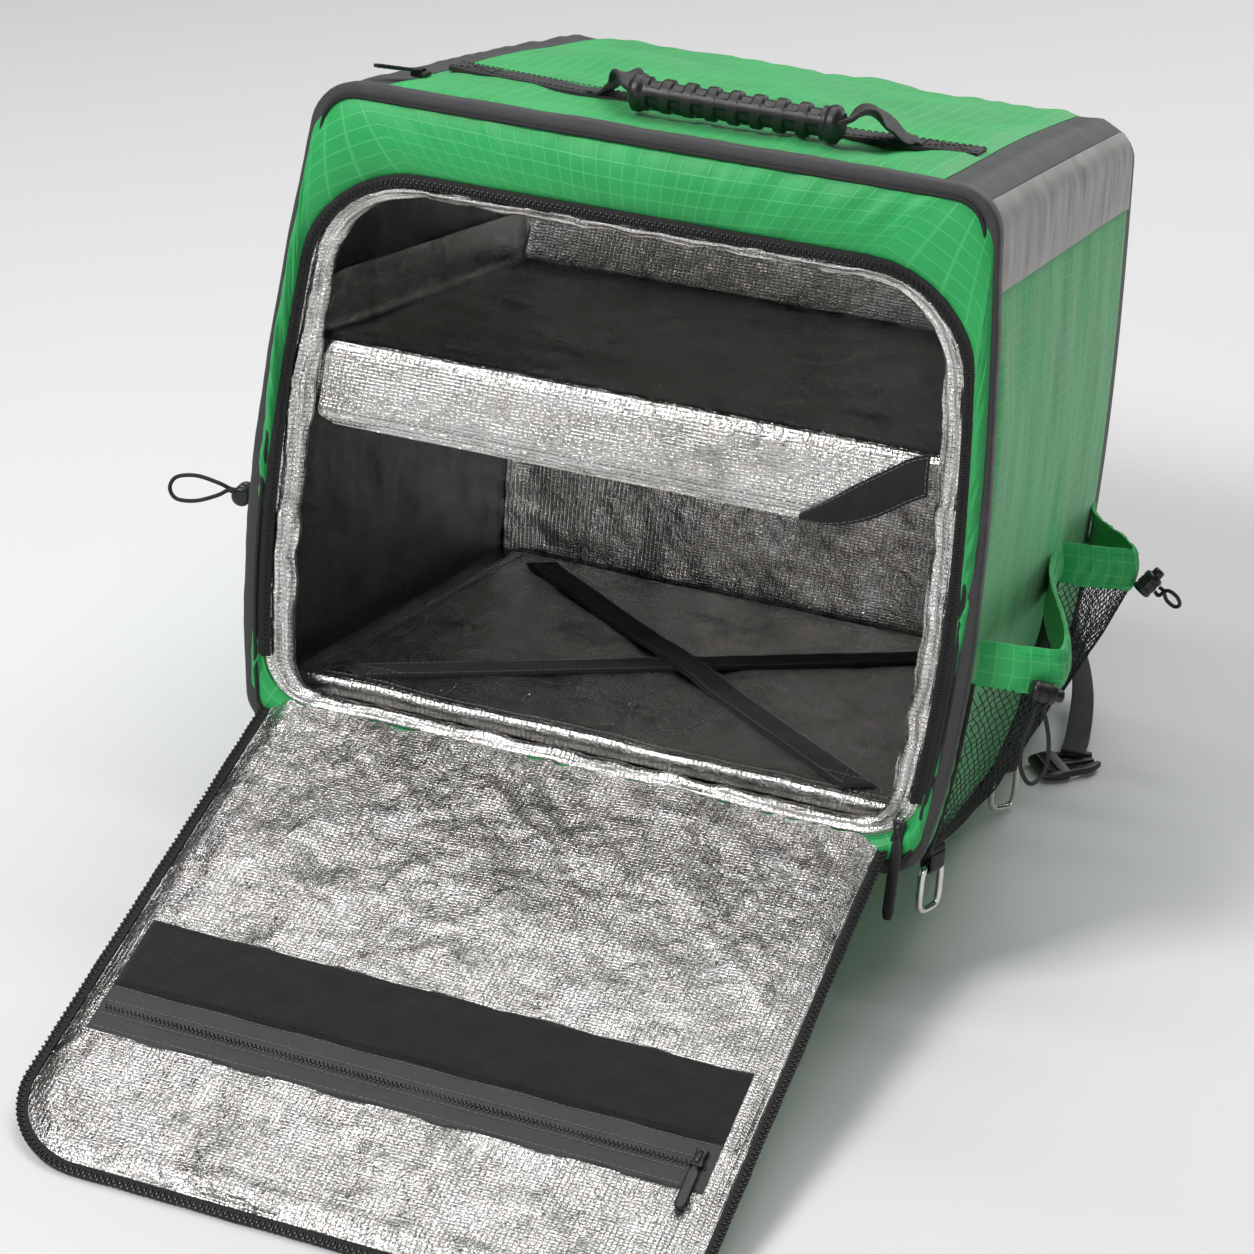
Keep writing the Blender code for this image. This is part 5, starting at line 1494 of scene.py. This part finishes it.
def build_hem(name, pocket, side):
    """The green hem with the cord inside, gathered along its length."""
    shares = np.linspace(0, 1, 170)
    top = pocket_surface(pocket, shares, np.full(170, 1.0), side)
    along = lengths_along(top)
    levels = np.linspace(0, 1, 15)
    seed = sum(map(ord, name)) + 9
    grid = []
    for level in levels:
        row = top.copy()
        row[:, 2] = HEM_LOW - 0.001 + (HEM_HIGH - HEM_LOW + 0.002) * level
        row[:, 2] += 0.0007 * soft_noise(along, along * 0, 0.02, seed, 3) * abs(level - 0.5) * 2
        flare = 1 + 0.004 * math.sin(math.pi * level) - 0.003 * max(0.0, level - 0.5) * 2
        row[:, 0] = side * np.maximum(side * row[:, 0] * flare, HALF + GAP + SEAM_OUT)
        grid.append(row)
    grid = np.array(grid)
    u, v = np.meshgrid(levels * 0.028, along, indexing="ij")
    gathers = np.sin(v * math.tau / 0.0085 + 3 * soft_noise(v, u, 0.05, seed + 1, 3))
    puff = np.sin(math.pi * levels)[:, None] ** 0.6
    relief = 0.0009 * gathers * (0.35 + 0.65 * puff) + 0.0018 * puff
    relief = relief + 0.0008 * soft_noise(u, v, 0.03, seed + 2, 3)
    out = np.zeros(grid.shape)
    out[..., 0] = side
    normal = normals_of(grid)
    normal *= np.sign((normal * out).sum(axis=-1, keepdims=True))
    ends = smoothstep(0.0, 0.006, v) * smoothstep(0.0, 0.006, along[-1] - v)
    outer = grid + normal * (relief * ends)[..., None]
    inner = grid - normal * 0.0016
    for skin, least in ((outer, HALF + GAP + 0.0012), (inner, HALF + GAP)):
        skin[..., 0] = side * np.maximum(side * skin[..., 0], least)
    sheet(f"{name}_hem_cloth", shaped(outer), shaped(inner), (v, u), RIPSTOP, "ripstop", f"{name}_hem")
    lines = [(shaped(outer[i, 3:-3]), (side * 0.0005, 0.0, 0.0)) for i in (2, -3)]
    sewn(f"{name}_hem_stitches", lines, THREAD_GREEN, 0.00030, "ripstop")


CORDS = {
    "right_front": {
        "offset": (-0.004, -0.0172, 0.004),
        "lock_axis": (0.90, 0.40, -0.15),
        "leaving": (0.10, 0.25, -1.0),
        "route": (
            (-0.0040, -0.0030, -0.012),
            (-0.0070, -0.0050, -0.027),
            (-0.0060, -0.0040, -0.043),
            (0.0010, -0.0010, -0.053),
            (0.0080, 0.0020, -0.044),
            (0.0080, 0.0030, -0.027),
            (0.0040, 0.0030, -0.012),
        ),
    },
    "right_rear": {
        "offset": (0.0135, -0.001, 0.008),
        "lock_axis": (0.55, 0.25, 0.80),
        "leaving": (1.0, 0.3, -0.45),
        "route": (
            (0.0080, -0.0050, 0.002),
            (0.0150, -0.0050, -0.001),
            (0.0170, 0.0020, -0.008),
            (0.0130, 0.0080, -0.012),
            (0.0070, 0.0060, -0.008),
        ),
    },
    "left_front": {
        "offset": (0.0115, -0.001, 0.018),
        "lock_axis": (0.10, 0.95, 0.10),
        "leaving": (1.0, 0.0, 0.05),
        "route": (
            (0.0120, -0.0010, 0.0035),
            (0.0280, -0.0020, 0.0055),
            (0.0420, -0.0030, 0.0020),
            (0.0460, -0.0040, -0.0060),
            (0.0410, -0.0030, -0.0130),
            (0.0270, -0.0020, -0.0120),
            (0.0120, -0.0010, -0.0055),
        ),
    },
    "left_rear": {
        "offset": (0.0145, -0.001, 0.008),
        "lock_axis": (0.55, 0.25, 0.80),
        "leaving": (1.0, 0.3, -0.45),
        "route": (
            (0.0080, -0.0050, 0.000),
            (0.0170, -0.0060, -0.007),
            (0.0210, 0.0010, -0.015),
            (0.0160, 0.0080, -0.017),
            (0.0080, 0.0060, -0.010),
        ),
    },
}
CORD_RADIUS = 0.0014
LOCK_RADIUS = 0.0068
LOCK_PROFILE = (
    (-0.0100, 0.0036), (-0.0099, 0.0050), (-0.0090, 0.0064), (-0.0080, 0.0068), (-0.0060, 0.0068),
    (-0.0056, 0.0063), (-0.0048, 0.0063), (-0.0044, 0.0068), (0.0002, 0.0068), (0.0006, 0.0063),
    (0.0014, 0.0063), (0.0018, 0.0068), (0.0046, 0.0068), (0.0058, 0.0062), (0.0064, 0.0050),
    (0.0065, 0.0041), (0.0088, 0.0041), (0.0104, 0.0040), (0.0112, 0.0034), (0.0115, 0.0022),
)


def build_cord(name, pocket, side):
    """The cord lock beside the hem and the elastic cord's loop, along the CAD part's own route."""
    cord = CORDS[name]
    turn = (pocket["corner"] - pocket["seam"]) / (pocket["rear"] - pocket["seam"])
    corner = shaped(pocket_surface(pocket, turn, 1.0, side))
    mirror = np.array([side, 1.0, 1.0])
    axis = unit(np.array(cord["lock_axis"]) * mirror)
    leaving = np.array(cord["leaving"]) * mirror
    leaving = unit(leaving - axis * (leaving @ axis))
    centre = np.array([corner[0], corner[1], HEM_LOW]) + np.array(cord["offset"]) * mirror
    leave = centre + leaving * (LOCK_RADIUS + 3 * GAP)
    ends = [leave + axis * 0.0022, leave - axis * 0.0022]
    if cord["route"][0][1] < cord["route"][-1][1] - GAP:
        ends.sort(key=lambda end: end[1])
    else:
        ends.sort(key=lambda end: -end[2])
    route = [leave + np.array(step) * mirror for step in cord["route"]]
    route = [ends[0], ends[0] + leaving * 0.0040, *route, ends[1] + leaving * 0.0040, ends[1]]
    path = smooth_route(route, 12)
    loop = sweep(f"{name}_elastic_cord", path, axis, CORD_RADIUS, CORD_RADIUS, CORD_BLACK, 12, 1.0)
    ride(loop, "webbing", f"{name}_cord")
    other = unit(np.cross(axis, leaving))
    turns = np.arange(28) * math.tau / 28
    rings = []
    for along, radius in LOCK_PROFILE:
        spokes = leaving[None] * np.cos(turns)[:, None] + other[None] * np.sin(turns)[:, None]
        rings.append(centre + axis * along + spokes * radius)
    lock = ride(loft(f"{name}_lock_body", rings, PLASTIC), "plastic", f"{name}_cord_lock")


def build_pockets():
    for name, pocket in POCKETS.items():
        side = 1 if name.startswith("right") else -1
        build_net(name, pocket, side)
        build_hem(name, pocket, side)
        build_cord(name, pocket, side)


# Rings and their loops

RING_PLACES = {"front": {"y": 0.030, "turn": 65}, "rear": {"y": 0.248, "turn": 45}}
RING_HEIGHT = 0.0095
RING_SHORT = 0.0095
RING_LONG = 0.017
RING_WIRE = 0.0024
RING_PLAY = 0.0011
LOOP_REACH = 0.010
LOOP_HALF = 0.0066


def build_ring(name, x, y, sideways, down):
    hook = RING_WIRE + RING_PLAY
    bend = np.array([x, y, RING_HEIGHT]) + down * LOOP_REACH
    centre = bend + down * (RING_LONG + RING_PLAY - 3 * GAP)
    angles = np.arange(72) * math.tau / 72
    across = RING_SHORT * np.sign(np.cos(angles)) * np.abs(np.cos(angles)) ** 0.5
    along = RING_LONG * np.sign(np.sin(angles)) * np.abs(np.sin(angles)) ** 0.5
    line = centre + sideways * across[:, None] + down * along[:, None]
    tangent = unit(np.roll(line, -1, axis=0) - np.roll(line, 1, axis=0))
    upright = unit(np.cross(sideways, down))
    square = unit(np.cross(upright, tangent))
    turns = np.arange(14) * math.tau / 14
    spokes = square[:, None] * np.cos(turns)[None, :, None] + upright * np.sin(turns)[None, :, None]
    rings = line[:, None] + RING_WIRE * spokes
    ride(loft(f"{name}_steel_ring", rings, STEEL, wrap=True), "steel", f"{name}_ring")
    angles = np.linspace(0, math.pi, 22)
    spokes = upright * np.cos(angles)[:, None] + down * np.sin(angles)[:, None]
    skins = []
    halves = np.array([-LOOP_HALF, -0.0060, -0.0030, 0.0030, 0.0060, LOOP_HALF])
    trims = np.array([0.5, 0.1, 0.0, 0.0, 0.1, 0.5])
    for radius, sign in ((hook + 0.0015, 1), (hook, -1)):
        size = radius - sign * 0.0010 * trims
        path = bend + spokes[:, None] * size[None, :, None] + sideways * halves[None, :, None]
        first = path[:1] - down * LOOP_REACH
        last = path[-1:] - down * LOOP_REACH
        skins.append(np.concatenate([first, path, last]))
    uv = np.meshgrid(lengths_along(skins[0][:, 2]), halves, indexing="ij")
    sheet(f"{name}_loop_webbing", *skins, uv, WEBBING, "webbing", f"{name}_ring_loop")
    fold = np.stack([bend - down * 0.012 + sideways * t for t in (-LOOP_HALF, 0.0, LOOP_HALF)])
    bar(f"{name}_loop_fold", fold, down, 0.0030, 0.0040, WEBBING, "webbing")


def build_rings():
    down = np.array([0.0, math.sin(LEAN), -math.cos(LEAN)])
    for side, side_name in ((1, "right"), (-1, "left")):
        for place_name, ring in RING_PLACES.items():
            turn = math.radians(ring["turn"])
            sideways = np.array([side * math.cos(turn), math.sin(turn), 0.0])
            sideways = unit(sideways - down * (sideways @ down))
            straight = HALF - LOW_RADIUS + math.sqrt(LOW_RADIUS**2 - (LOW_RADIUS - RING_HEIGHT) ** 2)
            x = side * (float(shaped((straight, ring["y"], RING_HEIGHT))[0]) + 0.0062)
            build_ring(f"{side_name}_{place_name}", x, ring["y"], sideways, down)


def build_sliders():
    x = 0.2195
    body = np.array([(x - 0.001, -0.0034, 0.036), (x - 0.001, -0.0036, 0.0225)])
    build_slider("hinge_slider", body, (1.0, 0.0, 0.0), (0.0, -1.0, 0.0), 0.0044, 0.0030, "hinge")
    pull = ((x - 0.001, -0.0052, 0.027), (x, -0.0060, 0.019), (x, -0.0055, -0.006), (x, -0.0044, -0.030))
    build_pull("hinge_pull", pull, (1.0, 0.0, 0.0), 0.0038, 0.0013)
    z = HEIGHT + 0.0042
    body = np.array([(-0.180, 0.070, z), (-0.180, 0.056, z)])
    build_slider("top_slider", body, (1.0, 0.0, 0.0), (0.0, 0.0, 1.0), 0.0046, 0.0030, "top")
    pull = (
        (-0.180, 0.059, z + 0.0024),
        (-0.183, 0.050, z + 0.0034),
        (-0.189, 0.038, z + 0.0046),
        (-0.196, 0.026, z + 0.0060),
    )
    build_pull("top_pull", pull, (0.9, 0.45, 0.0), 0.0036, 0.0012)


# Straps at the back


def build_shoulder_straps():
    seams = []
    for side, side_name in ((1, "right"), (-1, "left")):
        route = (
            (side * 0.075, DEPTH + GAP + 0.005, 0.385),
            (side * 0.080, DEPTH + 0.0130, 0.362),
            (side * 0.088, DEPTH + 0.028, 0.335),
            (side * 0.098, DEPTH + 0.046, 0.285),
            (side * 0.110, DEPTH + 0.050, 0.225),
            (side * 0.120, DEPTH + 0.042, 0.165),
        )
        points = smooth_route(route, 16)
        shares = np.linspace(0, 1, len(points))
        round_off = np.sqrt(np.clip(shares / 0.03, 0.05, 1) * np.clip((1 - shares) / 0.05, 0.05, 1))
        width = 0.030 * (0.985 + 0.01 * np.sin(shares * 40)) * (0.55 + 0.45 * round_off)
        thick = 0.0050 * (0.5 + 0.5 * round_off)
        strap = sweep(f"{side_name}_shoulder_pad", points, (1, 0, 0), width, thick, BACK_MESH, 26, 0.55)
        ride(strap, "webbing", f"{side_name}_shoulder_strap")
        tangent = unit(np.gradient(points, axis=0))
        across = unit(np.array([1.0, 0, 0]) - tangent * tangent[:, :1])
        up = np.cross(tangent, across)
        bindings = [points + across * (width * sign * 0.985)[:, None] for sign in (-1, 1)]
        ride(tubes(f"{side_name}_strap_binding", bindings, 0.0019, PIPING, 8), "webbing")
        for sign in (-1, 1):
            edge = points[2:-2] + across[2:-2] * (width[2:-2] * sign * 0.86)[:, None]
            for face in (-1, 1):
                seams.append((edge + up[2:-2] * face * 0.0043, up.mean(axis=0) * face * 0.0006))
        spine = points[4:-4] + up[4:-4] * 0.0052 * np.sign(up[:, 1].mean())
        spine = sweep(f"{side_name}_strap_spine", spine, (1, 0, 0), 0.0110, 0.0009, WEBBING, 12, 0.4)
        ride(spine, "webbing")
        route = (
            (side * 0.1205, DEPTH + 0.0405, 0.1575),
            (side * 0.132, DEPTH + 0.030, 0.120),
            (side * 0.146, DEPTH + 0.012, 0.075),
            (side * 0.153, DEPTH + 0.0045, 0.052),
            (side * 0.156, DEPTH + GAP + 0.0013, 0.036),
        )
        band = smooth_route(route, 14)
        name = f"{side_name}_lower_webbing"
        lower = sweep(name, band, (1, 0, 0), WEBBING_HALF, 0.0010, WEBBING, 14, 0.35)
        ride(lower, "webbing", f"{side_name}_strap_webbing")
        box = np.array(route[0]) + np.array([0.0, 0.001, 0.004])
        box = np.array([box + (0, 0, 0.006), box, box - (0, 0.001, 0.010)])
        name = f"{side_name}_strap_adjuster"
        bar(name, box, (1, 0, 0), 0.0165, 0.0030, PLASTIC, "plastic", power=0.35)
    sewn("shoulder_strap_stitches", seams, THREAD_BLACK, 0.00035, "webbing")


def floor_z(y, height):
    return (height + y * math.sin(LEAN) - DEPTH * math.sin(LEAN)) / math.cos(LEAN)


def build_waist_straps():
    for side, side_name in ((1, "right"), (-1, "left")):
        edge = HALF + float(side_bulge(0.430, 0.050))
        route = (
            (side * (edge + 0.0027), 0.4290, 0.061),
            (side * (edge + 0.0046), 0.4285, 0.049),
            (side * (edge + 0.0130), 0.4190, floor_z(0.4190, 0.038)),
            (side * (edge + 0.0230), 0.3930, floor_z(0.3930, 0.025)),
            (side * (edge + 0.0290), 0.3620, floor_z(0.3620, 0.0135)),
            (side * (edge + 0.0310), 0.3400, floor_z(0.3400, 0.0107)),
        )
        points = smooth_route(route, 12)
        turns = np.linspace(0, 1, len(points))[:, None]
        across = (1 - turns) * np.array([0.0, 1.0, -0.2]) + turns * np.array([side, 0.1, 0.0])
        strap = sweep(f"{side_name}_waist_webbing", points, across, 0.009, 0.0010, WEBBING, 14, 0.35)
        ride(strap, "webbing", f"{side_name}_waist_strap")
        build_buckle(side, side_name, edge)


def build_buckle(side, side_name, edge):
    """The inserting half of a side-release buckle, lying flat on the floor."""
    up = np.array([0.0, -math.sin(LEAN), math.cos(LEAN)])
    across = unit(np.array([-side * 0.60, 0.75 * math.cos(LEAN), 0.75 * math.sin(LEAN)]))

    def place_at(along, sideways=0.0, lift=0.0):
        x = side * (edge + 0.010 + along * 0.75)
        y = 0.318 + along * 0.60
        return np.array([x, y, floor_z(y, 0.0050)]) + across * sideways + up * lift

    def part(label, rows, *nodes):
        path = np.array([place_at(*row[:3]) for row in rows])
        widths, thicks = [row[3] for row in rows], [row[4] for row in rows]
        made = sweep(f"{side_name}_buckle_{label}", path, across, widths, thicks, PLASTIC, 18, 0.4)
        ride(made, "plastic", *nodes)

    body = (
        (0.0, 0.0, 0.0, 0.0138, 0.0024),
        (0.002, 0.0, 0.0, 0.0150, 0.0033),
        (0.012, 0.0, 0.0, 0.0168, 0.0040),
        (0.019, 0.0, 0.0, 0.0168, 0.0040),
        (0.021, 0.0, 0.0, 0.0158, 0.0034),
    )
    part("body", body, f"{side_name}_buckle_half")
    guide = (
        (0.019, 0.0, 0.0, 0.0030, 0.0022),
        (0.040, 0.0, 0.0, 0.0028, 0.0020),
        (0.047, 0.0, 0.0, 0.0020, 0.0014),
    )
    part("guide", guide)
    for sign, label in ((-1, "left_prong"), (1, "right_prong")):
        rows = (
            (0.019, sign * 0.0125, 0.0, 0.0022, 0.0026),
            (0.030, sign * 0.0120, 0.0, 0.0018, 0.0026),
            (0.036, sign * 0.0108, 0.0, 0.0032, 0.0026),
            (0.041, sign * 0.0095, 0.0, 0.0034, 0.0026),
            (0.049, sign * 0.0060, 0.0, 0.0018, 0.0022),
        )
        part(label, rows)
    for along in (0.005, 0.0125):
        ends = np.linspace(place_at(along, -0.0118, 0.0036), place_at(along, 0.0118, 0.0036), 5)
        name = f"{side_name}_buckle_bar_{int(along * 10000)}"
        bar(name, ends, up, 0.0012, 0.0013, PLASTIC, "plastic", sides=10, power=0.7)


# Camera, stage and light


def build_camera():
    data = bpy.data.cameras.new("camera")
    data.lens = LENS
    data.sensor_width = 36.0
    data.clip_start = 0.05
    data.clip_end = 60.0
    camera = bpy.data.objects.new("camera", data)
    camera.matrix_world = Matrix(CAMERA_ROWS)
    bpy.context.scene.collection.objects.link(camera)
    bpy.context.scene.camera = camera


def build_stage():
    """A pale floor that curves up into the backdrop on every side."""
    paper = new_material("studio_paper", grey(0.80), 0.9)[0]
    flat = ((0.02, 0.0), (1.5, 0.0), (3.4, 0.0))
    rising = ((4.0, 0.08), (4.5, 0.35), (4.8, 0.8), (4.9, 1.3), (4.95, 1.9))
    rings = []
    count = 96
    turns = np.arange(count) * math.tau / count
    for radius, height in (*flat, *rising):
        level = np.full(count, height - 0.0003)
        rings.append(np.stack([radius * np.cos(turns), radius * np.sin(turns), level], axis=1))
    points = np.concatenate(rings)
    faces = [tuple(range(count))]
    for i in range(len(rings) - 1):
        for k in range(count):
            n = (k + 1) % count
            faces.append((i * count + k, i * count + n, (i + 1) * count + n, (i + 1) * count + k))
    mesh = bpy.data.meshes.new("studio_floor")
    mesh.from_pydata([tuple(p) for p in points], [], faces)
    mesh.materials.append(paper)
    mesh.shade_smooth()
    floor = bpy.data.objects.new("studio_floor", mesh)
    bpy.context.scene.collection.objects.link(floor)


def area_light(name, location, target, size, power):
    data = bpy.data.lights.new(name, "AREA")
    data.shape = "RECTANGLE"
    data.size, data.size_y = size
    data.energy = power
    lamp = bpy.data.objects.new(name, data)
    lamp.location = location
    direction = Vector(target) - Vector(location)
    lamp.rotation_euler = direction.to_track_quat("-Z", "Y").to_euler()
    bpy.context.scene.collection.objects.link(lamp)


def build_lights():
    world = bpy.data.worlds.new("studio")
    world.use_nodes = True
    background = world.node_tree.nodes["Background"]
    background.inputs[0].default_value = (1.0, 1.0, 1.0, 1.0)
    background.inputs[1].default_value = 0.06
    bpy.context.scene.world = world
    area_light("key", (-1.2, -1.5, 2.6), (0.0, 0.0, 0.15), (0.9, 0.9), 60.0)
    for place, power in ((0.15, 17.0), (1.15, 18.0), (2.1, 18.0)):
        area_light(f"strip_{int(place * 100)}", (0.0, place, 2.7), (0.0, 0.1, 0.0), (2.6, 0.32), power)
    area_light("front_low", (0.9, -3.0, 0.9), (0.0, 0.0, 0.2), (1.8, 0.5), 12.0)
    area_light("rear_fill", (0.8, 2.8, 1.4), (0.0, 0.2, 0.2), (1.6, 1.0), 13.0)
    bpy.context.scene.view_settings.view_transform = "Standard"


build_camera()
build_pockets()
build_shell()
build_front_cloth()
build_edge_trim()
build_back()
build_lining()
build_jamb()
build_opening_zip()
build_flap()
build_flap_zip()
build_flap_details()
build_floor()
build_shelf()
build_lip_tape()
build_handle()
build_rings()
build_sliders()
build_shoulder_straps()
build_waist_straps()
build_stage()
build_lights()
